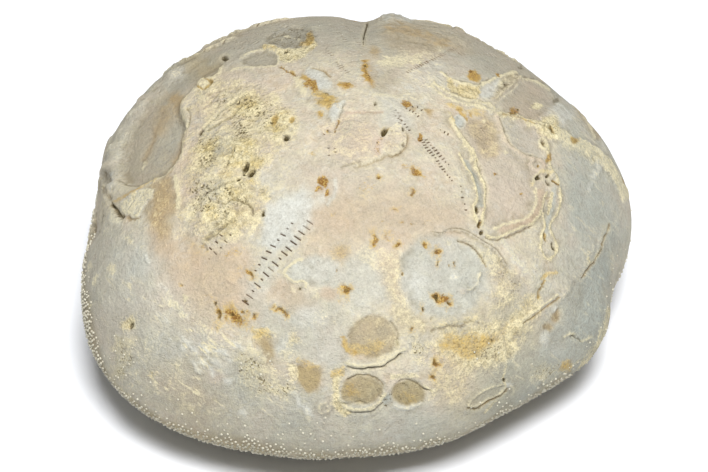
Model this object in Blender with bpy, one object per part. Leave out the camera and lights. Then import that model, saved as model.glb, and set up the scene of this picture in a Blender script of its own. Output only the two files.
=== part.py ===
# Fossil heart urchin: one solid stone, resting on its flat underside.
#
# Frame: metres, +Z up, origin under the middle of the body on the surface that it rests on.
# +Y is the front, where the sulcus (the groove of the front ambulacrum) notches the rim.
#
# A place on the stone is a pair (bearing, fall) in degrees. The bearing runs anticlockwise from +X, seen
# from above. The fall is 0 at the summit, 96 at the widest line and 180 in the middle of the underside.

import math
import random

import bmesh
import bpy
import numpy as np
from mathutils import Vector, noise

NAME = "urchin_stone"
SEED = 7

# Body
HEIGHT = 0.0490
RIM_HEIGHT = 0.0146  # of the widest line
PLAN_RADII = (  # of the widest line, one every 22.5 degrees of bearing
    0.0489, 0.0516, 0.0519, 0.0526, 0.0504, 0.0509, 0.0501, 0.0489,
    0.0468, 0.0505, 0.0523, 0.0509, 0.0495, 0.0484, 0.0480, 0.0473,
)  # fmt: skip
SUMMIT_OFFSET = (0.0024, -0.0013)
DOME_POWER = 1.94  # 2 is a round dome, and more is a boxier one
DOME_POWER_TO_RIGHT = -0.22
DOME_POWER_SIDES = -0.06
FLAT_SHARE = 0.55  # of the plan radius that lies flat underneath

# Mesh
FINE_SUBDIVISIONS = 7
KEPT_TRIANGLES = 8200
MARGIN_TUBERCLES = 200
TUBERCLE_SPACING = 0.0038
TUBERCLE_RADIUS = 0.00055
TUBERCLE_HEIGHT = 0.0004
TUBERCLE_BAND = (0.0020, 0.0130)  # heights between which the margin tubercles stand

# Weathering, as a size across and a height
SWELLS = (0.022, 0.00030)
DENTS = (0.007, 0.00022)
CRUST_LUMPS = (0.0032, 0.00060)

# Grooves and ridges: places, then half width and height, each at the path's first and last place
PORE_ROW = (0.0008, 0.0009)
PORE_DEPTH = (-0.0003, -0.0004)
GROOVES = {
    "sulcus": ([(90, 6), (90, 20), (89, 40), (89, 60), (90, 80), (90, 100), (90, 122)],
               (0.0016, 0.0056), (-0.0002, -0.0026)),
    "petal_back_left_inner": ([(240, 14), (250, 34), (250, 48), (246, 62)], PORE_ROW, PORE_DEPTH),
    "petal_back_left_outer": ([(228, 14), (232, 34), (236, 48), (238, 62)], PORE_ROW, PORE_DEPTH),
    "petal_back_right_inner": ([(312, 12), (308, 26), (306, 38), (305, 52)], PORE_ROW, PORE_DEPTH),
    "petal_back_right_outer": ([(322, 12), (316, 24), (313, 34), (311, 42)], PORE_ROW, PORE_DEPTH),
    "petal_front_left_inner": ([(112, 12), (112, 26), (118, 42), (122, 58)], PORE_ROW, PORE_DEPTH),
    "petal_front_left_outer": ([(130, 12), (128, 26), (130, 42), (132, 58)], PORE_ROW, PORE_DEPTH),
    "petal_front_right_inner": ([(66, 12), (62, 26), (58, 42), (56, 58)], PORE_ROW, PORE_DEPTH),
    "petal_front_right_outer": ([(50, 12), (48, 26), (46, 42), (45, 58)], PORE_ROW, PORE_DEPTH),
    "flank_left": ([(303, 81), (302, 89), (304, 97)], (0.0009, 0.0009), (-0.0004, -0.0006)),
    "left_notch": ([(186, 86), (192, 80), (194, 74)], (0.0026, 0.0022), (-0.0012, -0.0008)),
    "crust_crack": ([(189, 37), (184, 33), (178, 28)], (0.0008, 0.0008), (-0.0005, -0.0005)),
    "mouth_band_left": ([(104, 148), (150, 162), (222, 150), (236, 138)], (0.0022, 0.0026), (-0.0008, -0.0006)),
    "mouth_band_right": ([(76, 148), (30, 162), (318, 150), (304, 138)], (0.0022, 0.0026), (-0.0008, -0.0006)),
}  # fmt: skip
RIDGES = {
    "hollow_lip": ([(147, 39), (156, 43), (166, 47), (178, 43), (196, 44), (201, 48), (198, 55), (190, 64)],
                   (0.0011, 0.0011), (0.0006, 0.0007)),
    "hollow_edge": ([(150, 62), (160, 70), (168, 73), (178, 74), (188, 72)], (0.0016, 0.0018), (0.0007, 0.0010)),
    "shell_upper": ([(34, 25), (25, 28), (22, 33), (30, 40), (35, 50)], (0.0010, 0.0008), (0.0006, 0.0006)),
    "shell_middle": ([(14, 20), (5, 28), (8, 34), (18, 40), (31, 50), (33, 60)], (0.0012, 0.0010), (0.0008, 0.0006)),
    "shell_long": ([(3, 26), (6, 40), (9, 55), (10, 68), (8, 84)], (0.0012, 0.0016), (0.0009, 0.0006)),
    "shell_branch": ([(8, 36), (356, 39), (350, 43), (349, 50)], (0.0008, 0.0008), (0.0006, 0.0006)),
    "shell_outer": ([(2, 50), (352, 55), (344, 59), (334, 60), (328, 66)], (0.0013, 0.0014), (0.0009, 0.0010)),
    "shell_inner": ([(347, 51), (336, 54), (324, 56), (312, 51)], (0.0010, 0.0008), (0.0007, 0.0006)),
    "shell_left": ([(347, 26), (336, 30), (326, 35), (320, 42), (312, 49)], (0.0013, 0.0012), (0.0010, 0.0009)),
    "ring_outer": ([(297, 45), (305, 50), (309, 56), (311, 64)], (0.0010, 0.0010), (0.0007, 0.0007)),
    "ring_lower": ([(299, 70), (292, 70), (286, 67), (281, 60)], (0.0009, 0.0008), (0.0005, 0.0004)),
    "flank_right": ([(308, 75), (320, 74), (332, 75), (345, 76), (356, 79)], (0.0014, 0.0016), (0.0009, 0.0011)),
    "left_lump": ([(160, 79), (168, 80), (176, 79)], (0.0022, 0.0024), (0.0002, 0.0005)),
    "mouth_lip": ([(76, 151), (90, 155), (104, 151)], (0.0012, 0.0012), (-0.0001, -0.0001)),
}  # fmt: skip

# Areas with an outline: places round it, height and how far the edge slopes
AREAS = {
    "hollow": ([(168, 48), (184, 45), (199, 47), (197, 56), (190, 63), (180, 68),
                (168, 67), (154, 63), (148, 55), (156, 49)], -0.0016, 0.0016),
    "crust": ([(158, 42), (160, 27), (190, 18), (221, 18), (229, 32), (240, 40),
               (238, 47), (224, 51), (206, 46), (182, 40)], 0.0007, 0.0014),
    "ring_floor": ([(290, 48), (302, 51), (306, 58), (303, 65), (292, 68), (284, 63), (283, 54)], -0.0005, 0.0012),
    "scar_high": ([(267, 68), (274, 64), (281, 68), (279, 75), (272, 77), (267, 74)], -0.0005, 0.0009),
    "scar_low": ([(266, 81), (271, 79), (277, 81), (275, 85), (268, 85)], -0.0004, 0.0009),
    "scar_right": ([(278, 83), (281, 81), (285, 84), (281, 87)], -0.0004, 0.0009),
    "scar_left": ([(259, 77), (263, 76), (263, 81), (259, 82)], -0.0003, 0.0009),
    "mouth": ([(74, 142), (90, 139), (106, 142), (108, 149), (90, 153), (72, 149)], -0.0034, 0.0030),
    "vent": ([(262, 113), (270, 110), (278, 113), (277, 121), (270, 124), (263, 121)], -0.0026, 0.0026),
}  # fmt: skip

# Pits and bumps: place, radius and height
SPOTS = (
    ((221, 32), 0.0013, -0.0014),
    ((223, 36), 0.0010, -0.0010),
    ((290, 14), 0.0011, -0.0012),
    ((255, 53), 0.0014, -0.0006),
    ((222, 83), 0.0014, -0.0006),
    ((170, 90), 0.0040, -0.0005),
    ((230, 105), 0.0090, 0.0008),
    ((306, 106), 0.0060, -0.0010),
    ((330, 100), 0.0055, 0.0010),
    ((345, 99), 0.0045, -0.0006),
    ((18, 66), 0.0060, 0.0005),
    ((60, 44), 0.0040, 0.0005),
)


def smoothstep(x):
    x = np.clip(x, 0, 1)
    return x * x * (3 - 2 * x)


def plan_radius(bearing):
    """Radius of the widest line: a smooth closed curve through PLAN_RADII."""
    count = len(PLAN_RADII)
    waves = np.fft.rfft(PLAN_RADII) / count
    radius = np.full_like(bearing, waves[0].real)
    for k in range(1, len(waves)):
        share = 1 if 2 * k == count else 2
        radius += share * (waves[k].real * np.cos(k * bearing) - waves[k].imag * np.sin(k * bearing))
    return radius


def profile(level, power):
    """Reach, as a share of the plan radius, and height.

    The level is 1 at the summit, 0 at the widest line and -1 in the middle of the underside. The rounded
    lower edge takes the levels down to -0.5, and the flat underside takes the rest.
    """
    turn = np.abs(level) * math.pi / 2
    dome_reach = np.clip(np.cos(turn), 0, 1) ** (2 / power)
    dome_height = RIM_HEIGHT + (HEIGHT - RIM_HEIGHT) * np.sin(turn) ** (2 / power)
    curl = np.minimum(np.abs(level) * 2, 1) * math.pi / 2
    inward = np.clip(np.abs(level) * 2 - 1, 0, 1)
    base_reach = FLAT_SHARE * (1 - inward) + (1 - FLAT_SHARE) * np.cos(curl)
    base_height = RIM_HEIGHT * (1 - np.sin(curl))
    return np.where(level >= 0, dome_reach, base_reach), np.where(level >= 0, dome_height, base_height)


def level_table():
    """Falls in radians with their levels, so that equal areas of a sphere become equal areas of the stone."""
    levels = np.linspace(1, -1, 1201)
    reach, height = profile(levels, DOME_POWER)
    mean_radius = sum(PLAN_RADII) / len(PLAN_RADII)
    steps = np.hypot(np.diff(reach) * mean_radius, np.diff(height))
    area = np.concatenate([[0], np.cumsum((reach[1:] + reach[:-1]) * steps)])
    return np.arccos(1 - 2 * area / area[-1]), levels


FALLS, LEVELS = level_table()


def body_points(directions):
    """Points of the plain body, one for each unit vector."""
    bearing = np.arctan2(directions[:, 1], directions[:, 0])
    fall = np.arccos(np.clip(directions[:, 2], -1, 1))
    power = DOME_POWER + DOME_POWER_TO_RIGHT * np.cos(bearing) + DOME_POWER_SIDES * np.cos(2 * bearing)
    level = np.interp(fall, FALLS, LEVELS)
    reach, height = profile(level, power)
    radius = plan_radius(bearing) * reach
    lean = np.where(level > 0, 1 - reach, 0)
    x = radius * np.cos(bearing) + SUMMIT_OFFSET[0] * lean
    y = radius * np.sin(bearing) + SUMMIT_OFFSET[1] * lean
    return np.stack([x, y, height], axis=1)


def on_body(places):
    """Points of the plain body at (bearing, fall) places."""
    bearing, fall = np.radians(np.array(places, dtype=float)).T
    return body_points(np.stack([np.sin(fall) * np.cos(bearing), np.sin(fall) * np.sin(bearing), np.cos(fall)], 1))


def smooth_path(points, closed=False, steps=8):
    """A Catmull-Rom curve through the points, and how far along it each of its points is, from 0 to 1."""
    count = len(points)
    spans = count if closed else count - 1
    curve = []
    for i in range(spans):
        ahead = [(i + k) % count if closed else min(max(i + k, 0), count - 1) for k in (-1, 0, 1, 2)]
        a, b, c, d = (points[k] for k in ahead)
        for t in np.arange(steps) / steps:
            curve.append(
                0.5 * (2 * b + (c - a) * t + (2 * a - 5 * b + 4 * c - d) * t**2 + (3 * b - 3 * c + d - a) * t**3)
            )
    if not closed:
        curve.append(points[-1])
    return np.array(curve), np.linspace(0, 1, len(curve))


def path_relief(body, places, widths, heights):
    """A rounded groove or ridge along a path."""
    curve, along = smooth_path(on_body(places))
    start, step = curve[:-1], np.diff(curve, axis=0)
    offset = body[:, None] - start[None]
    t = np.clip((offset * step).sum(2) / (step**2).sum(1), 0, 1)
    distance = np.linalg.norm(offset - t[..., None] * step, axis=2)
    nearest = distance.argmin(axis=1)
    rows = np.arange(len(body))
    way = along[nearest] + t[rows, nearest] / len(step)
    width = widths[0] + (widths[1] - widths[0]) * way
    height = heights[0] + (heights[1] - heights[0]) * way
    return height * np.exp(-((distance[rows, nearest] / width) ** 2))


def area_share(body, places, slope):
    """1 inside a closed outline and 0 outside it, with a soft edge."""
    curve, _ = smooth_path(on_body(places), closed=True, steps=5)
    middle = curve.mean(axis=0)
    turns = np.linalg.svd(curve - middle)[2]
    outline = (curve - middle) @ turns[:2].T
    spots = (body - middle) @ turns[:2].T
    depth = np.abs((body - middle) @ turns[2])
    ahead = np.roll(outline, -1, axis=0)
    step = ahead - outline
    offset = spots[:, None] - outline[None]
    t = np.clip((offset * step).sum(2) / (step**2).sum(1), 0, 1)
    distance = np.linalg.norm(offset - t[..., None] * step, axis=2).min(axis=1)
    above, above_ahead = outline[:, 1] > spots[:, 1:2], ahead[:, 1] > spots[:, 1:2]
    rise = np.where(step[:, 1] == 0, 1, step[:, 1])
    crossing = outline[:, 0] + (spots[:, 1:2] - outline[:, 1]) / rise * step[:, 0]
    inside = ((above != above_ahead) & (spots[:, 0:1] < crossing)).sum(axis=1) % 2 == 1
    size = np.linalg.norm(outline, axis=1).max()
    signed = np.where(inside, distance, -distance)
    return np.where(depth < size, smoothstep(0.5 + signed / slope), 0)


def spot_relief(body, place, radius, height):
    distance = np.linalg.norm(body - on_body([place]), axis=1)
    return height * np.exp(-((distance / radius) ** 2))


def weathering(body, size, height):
    """Natural unevenness, with lumps about as large as size."""
    return height * np.array([noise.fractal(Vector(point) / size, 0.7, 2.0, 3) for point in body])


def relief(body):
    """Height of everything that stands on the plain body or is sunk into it."""
    rest = smoothstep(body[:, 2] / 0.0012)  # 0 where the stone lies flat
    height = rest * (weathering(body, *SWELLS) + weathering(body, *DENTS))
    for outline, rise, slope in AREAS.values():
        share = area_share(body, outline, slope)
        height += rise * share
        if outline is AREAS["crust"][0]:
            height += share * weathering(body, *CRUST_LUMPS)
    for places, widths, heights in (GROOVES | RIDGES).values():
        height += path_relief(body, places, widths, heights)
    for place, radius, rise in SPOTS:
        height += spot_relief(body, place, radius, rise)
    return height


def shaped_ball(name):
    """A finely divided ball, shaped into the stone."""
    bm = bmesh.new()
    bmesh.ops.create_icosphere(bm, subdivisions=FINE_SUBDIVISIONS, radius=1)
    body = body_points(np.array([vert.co.normalized() for vert in bm.verts]))
    for vert, point in zip(bm.verts, body):
        vert.co = point
    bm.normal_update()
    normals = np.array([vert.normal for vert in bm.verts])
    shaped = body + normals * relief(body)[:, None]
    shaped[:, 2] = np.maximum(shaped[:, 2], 0)
    for vert, point in zip(bm.verts, shaped):
        vert.co = point
    mesh = bpy.data.meshes.new(name)
    bm.to_mesh(mesh)
    bm.free()
    return mesh


def thinned(mesh, collection):
    """The mesh with triangles kept where the form needs them."""
    obj = bpy.data.objects.new("fine", mesh)
    collection.objects.link(obj)
    decimate = obj.modifiers.new("thin", "DECIMATE")
    decimate.ratio = KEPT_TRIANGLES / len(mesh.polygons)
    bpy.context.view_layer.update()
    result = bpy.data.meshes.new_from_object(obj.evaluated_get(bpy.context.evaluated_depsgraph_get()))
    bpy.data.objects.remove(obj)
    return result


def level_base(bm):
    """The lowest points put in one plane, the face that the stone rests on."""
    for vert in bm.verts:
        if vert.co.z < 0.00006:
            vert.co.z = 0


def inner_radius(face):
    return 2 * face.calc_area() / face.calc_perimeter()


def margin_faces(bm):
    """Faces for the margin tubercles, spread evenly over the band above the lower edge."""
    low, high = TUBERCLE_BAND
    faces = [face for face in bm.faces if low < face.calc_center_median().z < high]
    random.Random(SEED).shuffle(faces)
    chosen = []
    for face in faces:
        middle = face.calc_center_median()
        roomy = inner_radius(face) > 1.1 * TUBERCLE_RADIUS
        if roomy and all((middle - other.calc_center_median()).length > TUBERCLE_SPACING for other in chosen):
            chosen.append(face)
        if len(chosen) == MARGIN_TUBERCLES:
            break
    return chosen


def raise_tubercles(bm):
    """One small bead on each chosen face."""
    chosen = margin_faces(bm)
    for face in chosen:
        margin = inner_radius(face) - TUBERCLE_RADIUS
        bmesh.ops.inset_individual(bm, faces=[face], thickness=margin, use_even_offset=True)
    poked = bmesh.ops.poke(bm, faces=chosen)
    for vert in poked["verts"]:
        vert.co += vert.normal * TUBERCLE_HEIGHT


def centre_on_axes(bm):
    """The middle of the body's box put over the origin."""
    points = np.array([vert.co for vert in bm.verts])
    middle = (points.min(axis=0) + points.max(axis=0)) / 2
    bmesh.ops.translate(bm, verts=bm.verts, vec=Vector((-middle[0], -middle[1], 0)))


def stone_material():
    material = bpy.data.materials.new("weathered_limestone")
    material.use_nodes = True
    shader = material.node_tree.nodes["Principled BSDF"]
    shader.inputs["Base Color"].default_value = (0.50, 0.44, 0.35, 1)
    shader.inputs["Roughness"].default_value = 0.85
    shader.inputs["Metallic"].default_value = 0
    return material


def make_stone(collection):
    mesh = thinned(shaped_ball(NAME), collection)
    mesh.name = NAME
    bm = bmesh.new()
    bm.from_mesh(mesh)
    level_base(bm)
    bm.normal_update()
    raise_tubercles(bm)
    bmesh.ops.triangulate(bm, faces=bm.faces)
    centre_on_axes(bm)
    bm.to_mesh(mesh)
    bm.free()
    mesh.shade_smooth()
    mesh.materials.clear()
    mesh.materials.append(stone_material())
    stone = bpy.data.objects.new(NAME, mesh)
    collection.objects.link(stone)
    return stone


def main():
    for obj in list(bpy.data.objects):
        bpy.data.objects.remove(obj, do_unlink=True)
    collection = bpy.data.collections.new("fossil_sea_urchin")
    bpy.context.scene.collection.children.link(collection)
    make_stone(collection)


main()
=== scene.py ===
import math

import bmesh
import bpy
import numpy as np
from mathutils import Matrix, Vector
from mathutils.bvhtree import BVHTree
from mathutils.kdtree import KDTree


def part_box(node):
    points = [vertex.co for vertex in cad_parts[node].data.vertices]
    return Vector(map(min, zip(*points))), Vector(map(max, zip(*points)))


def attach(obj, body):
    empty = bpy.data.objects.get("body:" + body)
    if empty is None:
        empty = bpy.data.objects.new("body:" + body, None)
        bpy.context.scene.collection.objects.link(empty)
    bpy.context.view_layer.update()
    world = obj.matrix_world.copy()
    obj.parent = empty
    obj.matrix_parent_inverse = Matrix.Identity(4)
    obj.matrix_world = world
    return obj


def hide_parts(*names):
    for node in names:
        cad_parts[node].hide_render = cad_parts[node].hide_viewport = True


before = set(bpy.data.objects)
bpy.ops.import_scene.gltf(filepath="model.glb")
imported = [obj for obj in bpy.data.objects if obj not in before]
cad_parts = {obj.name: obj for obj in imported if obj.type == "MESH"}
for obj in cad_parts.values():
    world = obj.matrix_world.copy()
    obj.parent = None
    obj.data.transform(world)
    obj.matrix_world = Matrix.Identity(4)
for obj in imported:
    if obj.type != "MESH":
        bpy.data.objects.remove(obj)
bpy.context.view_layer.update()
stoneNode = "urchin_stone"
mm = .001

# All lengths below are in millimetres, in the frame's axes: +Z up, +Y the front of the urchin, and the
# camera looks at its rear. A place on the stone is given in one of two ways:
#   (x, y) is where it shows in the camera's picture, 708 wide and 472 high, from the top left corner;
#   turned(bearing, fall) gives degrees round from +X and degrees down from the summit, for the far side.
# A path is written "x,y x,y", or far("bearing,fall bearing,fall").

picture = {
    "wide": 708,
    "high": 472,
    "lens": 135.7,
    "sensor": 36,
    "distance": 468,
    "elevation": 40,
    "aim": (-1.3, -2.4, 18.0),
}

body = {
    "height": 49.0,
    "rimHeight": 14.6,  # of the widest line
    "planRadii": (  # of the widest line, one every 22.5 degrees of bearing
        48.9, 51.6, 51.9, 52.6, 50.4, 50.9, 50.1, 48.9,
        46.8, 50.5, 52.3, 50.9, 49.5, 48.4, 48.0, 47.3,
    ),
    "summitOffset": (2.4, -1.3),
    "domePower": 1.94,  # 2 is a round dome, more is boxier
    "powerToRight": -.22,
    "powerSides": -.06,
    "flatShare": .55,  # of the plan radius that lies flat underneath
    "shift": (-1.52, -.39),  # brings the middle of the stone's box over the origin
    "waves": ((.3, 22, 71, 3), (.14, 7, 75, 2), (.035, 1.6, 79, 2)),  # rise, size, seed and octaves
}

detail = {
    "startLevel": 6,  # subdivisions of the ball
    "far": 1.9,  # edge lengths wanted
    "seen": .78,
    "slant": .35,  # of an edge's true length counts however it is turned
    "slits": .11,
    "slitMargin": .1,
    "fineShare": 1.15,
    "graded": 2.6,  # times the edges beside it that an edge may be
    "rounds": 5,
}


def smoothstep(x):
    x = np.clip(x, 0, 1)
    return x * x * (3 - 2 * x)


def planRadius(bearing):
    radii = np.array(body["planRadii"])
    waves = np.fft.rfft(radii) / len(radii)
    radius = np.full_like(bearing, waves[0].real)
    for k in range(1, len(waves)):
        share = 1 if 2 * k == len(radii) else 2
        radius += share * (waves[k].real * np.cos(k * bearing) - waves[k].imag * np.sin(k * bearing))
    return radius


def profile(level, power):  # level: 1 summit, 0 widest line, -0.5 edge of the flat underside, -1 its middle
    rim, flat = body["rimHeight"], body["flatShare"]
    turn = np.abs(level) * math.pi / 2
    domeReach = np.clip(np.cos(turn), 0, 1) ** (2 / power)
    domeHeight = rim + (body["height"] - rim) * np.sin(turn) ** (2 / power)
    curl = np.minimum(np.abs(level) * 2, 1) * math.pi / 2
    inward = np.clip(np.abs(level) * 2 - 1, 0, 1)
    baseReach = flat * (1 - inward) + (1 - flat) * np.cos(curl)
    baseHeight = rim * (1 - np.sin(curl))
    return np.where(level >= 0, domeReach, baseReach), np.where(level >= 0, domeHeight, baseHeight)


def levelTable():  # equal areas of a ball become equal areas of the stone
    levels = np.linspace(1, -1, 1201)
    reach, height = profile(levels, body["domePower"])
    steps = np.hypot(np.diff(reach) * np.mean(body["planRadii"]), np.diff(height))
    area = np.concatenate([[0], np.cumsum((reach[1:] + reach[:-1]) * steps)])
    return np.arccos(1 - 2 * area / area[-1]), levels


fallTable, levelOfFall = levelTable()


def bodyPoints(directions):
    bearing = np.arctan2(directions[:, 1], directions[:, 0])
    fall = np.arccos(np.clip(directions[:, 2], -1, 1))
    power = (body["domePower"] + body["powerToRight"] * np.cos(bearing)
             + body["powerSides"] * np.cos(2 * bearing))
    level = np.interp(fall, fallTable, levelOfFall)
    reach, height = profile(level, power)
    radius = planRadius(bearing) * reach
    lean = np.where(level > 0, 1 - reach, 0)
    x = radius * np.cos(bearing) + body["summitOffset"][0] * lean + body["shift"][0]
    y = radius * np.sin(bearing) + body["summitOffset"][1] * lean + body["shift"][1]
    return np.stack([x, y, height], axis=1)


def cameraAxes():
    tilt = math.radians(picture["elevation"])
    back = np.array([0, -math.cos(tilt), math.sin(tilt)])
    return np.array([1.0, 0, 0]), np.array([0, math.sin(tilt), math.cos(tilt)]), back


right, up, back = cameraAxes()
eye = np.array(picture["aim"]) + back * picture["distance"]


def shown(points):  # where points show, in millimetres right of and below the picture's middle
    offset = points - eye
    across = np.stack([offset @ right, -(offset @ up)], axis=1)
    return across / -(offset @ back)[:, None] * picture["distance"]


def plainBall(level):
    bm = bmesh.new()
    bmesh.ops.create_icosphere(bm, subdivisions=level, radius=1)
    return bm


def unit(ways):
    return ways / np.linalg.norm(ways, axis=1)[:, None]


def directionsOf(bm):
    return unit(np.array([vert.co for vert in bm.verts]))


def bodyOutward(directions):  # which way the surface faces
    small = 1e-4
    aside = unit(np.cross(directions, (.31, .17, .93)))
    along = np.cross(directions, aside)
    home = bodyPoints(directions)
    return unit(np.cross(bodyPoints(unit(directions + small * aside)) - home,
                         bodyPoints(unit(directions + small * along)) - home))


def placeVerts(bm, points):
    for vert, point in zip(bm.verts, points):
        vert.co = point


def makeSeat():  # a plain body that places are looked up on
    bm = plainBall(6)
    placeVerts(bm, bodyPoints(directionsOf(bm)))
    tree = BVHTree.FromBMesh(bm)
    mesh = bpy.data.meshes.new("seat")
    bm.to_mesh(mesh)
    bm.free()
    return tree, mesh


seatTree, seatMesh = makeSeat()


focal = picture["lens"] / picture["sensor"] * picture["wide"]  # in pixels
millimetresWide = picture["distance"] / focal  # what one pixel covers


def seen(x, y):  # the place on the stone at a point of the picture
    middle = np.array([picture["wide"] / 2, picture["high"] / 2])
    aimed = np.array([x, y], dtype=float)
    for step in range(60):
        across, down = (aimed - middle) / focal
        ray = Vector(across * right - down * up - back).normalized()
        hit = seatTree.ray_cast(Vector(eye), ray)[0]
        if hit:
            return np.array(hit)
        aimed += (middle - aimed) / np.linalg.norm(middle - aimed)
    raise ValueError("that point of the picture misses the stone")


class turned:
    def __init__(self, bearing, fall):
        self.bearing, self.fall = math.radians(bearing), math.radians(fall)

    def point(self):
        flat = math.sin(self.fall)
        way = [flat * math.cos(self.bearing), flat * math.sin(self.bearing), math.cos(self.fall)]
        return bodyPoints(np.array([way]))[0]


def spotOf(place):  # on the stone for a turned place, on the picture for one that is seen
    if isinstance(place, turned):
        return place.point()
    if len(place) == 3:
        return np.array(place)
    return (np.array(place, dtype=float) - (picture["wide"] / 2, picture["high"] / 2)) * millimetresWide


def table(text):  # rows of numbers from "1,2 3,4"
    if not isinstance(text, str):
        return text
    return [tuple(float(part) for part in row.split(",")) for row in text.split()]


def far(path):
    return [turned(*place) for place in table(path)]


def shifted(places, aside, down):
    return [(x + aside, y + down) for x, y in places]


def solidPath(places):
    places = [place.point() if isinstance(place, turned) else seen(*place) for place in table(places)]
    return smoothPath(places)


def smoothPath(places, closed=False, steps=6):
    points = [spotOf(place) for place in table(places)]
    count = len(points)
    curve = []
    for i in range(count if closed else count - 1):
        ahead = [(i + k) % count if closed else min(max(i + k, 0), count - 1) for k in (-1, 0, 1, 2)]
        a, b, c, d = (points[k] for k in ahead)
        for t in np.arange(steps) / steps:
            bend = (2 * a - 5 * b + 4 * c - d) * t**2 + (3 * b - 3 * c + d - a) * t**3
            curve.append(.5 * (2 * b + (c - a) * t + bend))
    if not closed:
        curve.append(points[-1])
    return np.array(curve)


def scrambled(cells, seed):  # the same number from 0 to 1 for the same cell, every time
    x, y, z = (cells[..., k].astype(np.int64) for k in range(3))
    n = (x * 374761393 + y * 668265263 + z * 1440662683 + seed * 1013904223) & 0xFFFFFFFF
    n = ((n ^ (n >> 13)) * 1274126177) & 0xFFFFFFFF
    n = ((n ^ (n >> 15)) * 2246822519) & 0xFFFFFFFF
    return ((n ^ (n >> 16)) & 0xFFFFFF) / 0xFFFFFF


def grain(points, size, seed=0, octaves=1):  # soft lumps about as large as size, -1 to 1
    total, share, spread = 0, 1.0, 0
    for octave in range(octaves):
        scaled = points / size * 2**octave + 17.3 * octave
        cell = np.floor(scaled)
        part = scaled - cell
        ease = part * part * (3 - 2 * part)
        value = 0
        for corner in np.ndindex(2, 2, 2):
            weight = np.prod(np.where(corner, ease, 1 - ease), axis=-1)
            value = value + weight * scrambled(cell + np.array(corner), seed + octave)
        total = total + share * (value * 2 - 1)
        spread += share
        share /= 2
    return total / spread * 1.5


def pitted(points, size, seed, radius):  # round pits of uneven size, 0 between them and 1 at their middles
    scaled = points / size
    cell = np.floor(scaled)
    deepest = np.zeros(len(points))
    for step in np.ndindex(3, 3, 3):
        home = cell + np.array(step) - 1
        middle = home + np.stack([scrambled(home, seed + k) for k in range(3)], axis=-1)
        reach = radius * (.4 + .8 * scrambled(home, seed + 3))
        away = np.linalg.norm(scaled - middle, axis=-1) / reach
        deepest = np.maximum(deepest, smoothstep(1.6 - 1.6 * away))
    return deepest


coatNames = ("crust", "cream", "white", "ochre", "rust", "taupe", "cool", "tan", "dark", "blush", "moss",
             "specks", "beads", "streaks")


class Ground:  # points on the stone, in its own axes and as the camera sees them
    def __init__(self, directions, swaying=True):
        self.spots, self.outward = bodyPoints(directions), bodyOutward(directions)
        toEye = unit(eye - self.spots)
        self.facing = (self.outward * toEye).sum(1)
        self.inView = (self.facing > .01) & (self.spots[:, 2] > .5)
        self.flat = self.pressed(self.spots)
        self.drifts = None
        if swaying:
            broad = np.stack([grain(self.spots, 3.0, seed, 2) for seed in (11, 12, 13)], axis=1) * .35
            close = np.stack([grain(self.spots, .8, seed) for seed in (16, 17, 18)], axis=1) * .13
            pressed = [self.pressed(self.spots + sway) - self.flat for sway in (broad, close)]
            self.drifts = [[broad, close], pressed]

    def pressed(self, points):
        return np.where(self.inView[:, None], shown(points), 1e6)

    def near(self, low, high, loose, size):  # points in a box, swayed, and how well a mark shows there
        flat = len(low) == 2
        points = self.flat if flat else self.spots
        found = np.flatnonzero(((points > low) & (points < high)).all(axis=1))
        points = points[found]
        if self.drifts:
            broad, close = self.drifts[flat]
            points = points + loose * (broad[found] * min(1, size / 1.5) + close[found])
        return found, points, smoothstep((self.facing[found] - .01) / .05) if flat else 1


class Skin:  # what is known at each point of the stone's surface, in arrays of the same length
    def __init__(self, ground):
        self.ground, self.spots = ground, ground.spots
        self.lift = np.zeros(len(self.spots))
        self.coats = {name: np.zeros(len(self.spots)) for name in coatNames}

    def lay(self, found, share, coats):
        for name, amount in coats.items():
            self.coats[name][found] = np.maximum(self.coats[name][found], share * amount)


def alongPath(points, curve, closed=False):  # distance from the path, how far along it, and on which side
    ends = np.roll(curve, -1, axis=0) if closed else curve[1:]
    starts = curve if closed else curve[:-1]
    step = ends - starts
    offset = points[:, None] - starts[None]
    t = np.clip((offset * step).sum(2) / (step**2).sum(1), 0, 1)
    gap = offset - t[..., None] * step
    distance = np.linalg.norm(gap, axis=2)
    nearest = distance.argmin(axis=1)
    rows = np.arange(len(points))
    ahead, across = step[nearest], gap[rows, nearest]
    if points.shape[1] == 2:
        side = ahead[:, 1] * across[:, 0] - ahead[:, 0] * across[:, 1]
    else:
        side = (np.cross(ahead, across) * (points - np.array([0, 0, 10.0]))).sum(1)
    return distance[rows, nearest], (nearest + t[rows, nearest]) / len(step), np.sign(side)


def between(pair, way):
    first, last = pair if isinstance(pair, tuple) else (pair, pair)
    return first + (last - first) * way


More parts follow.
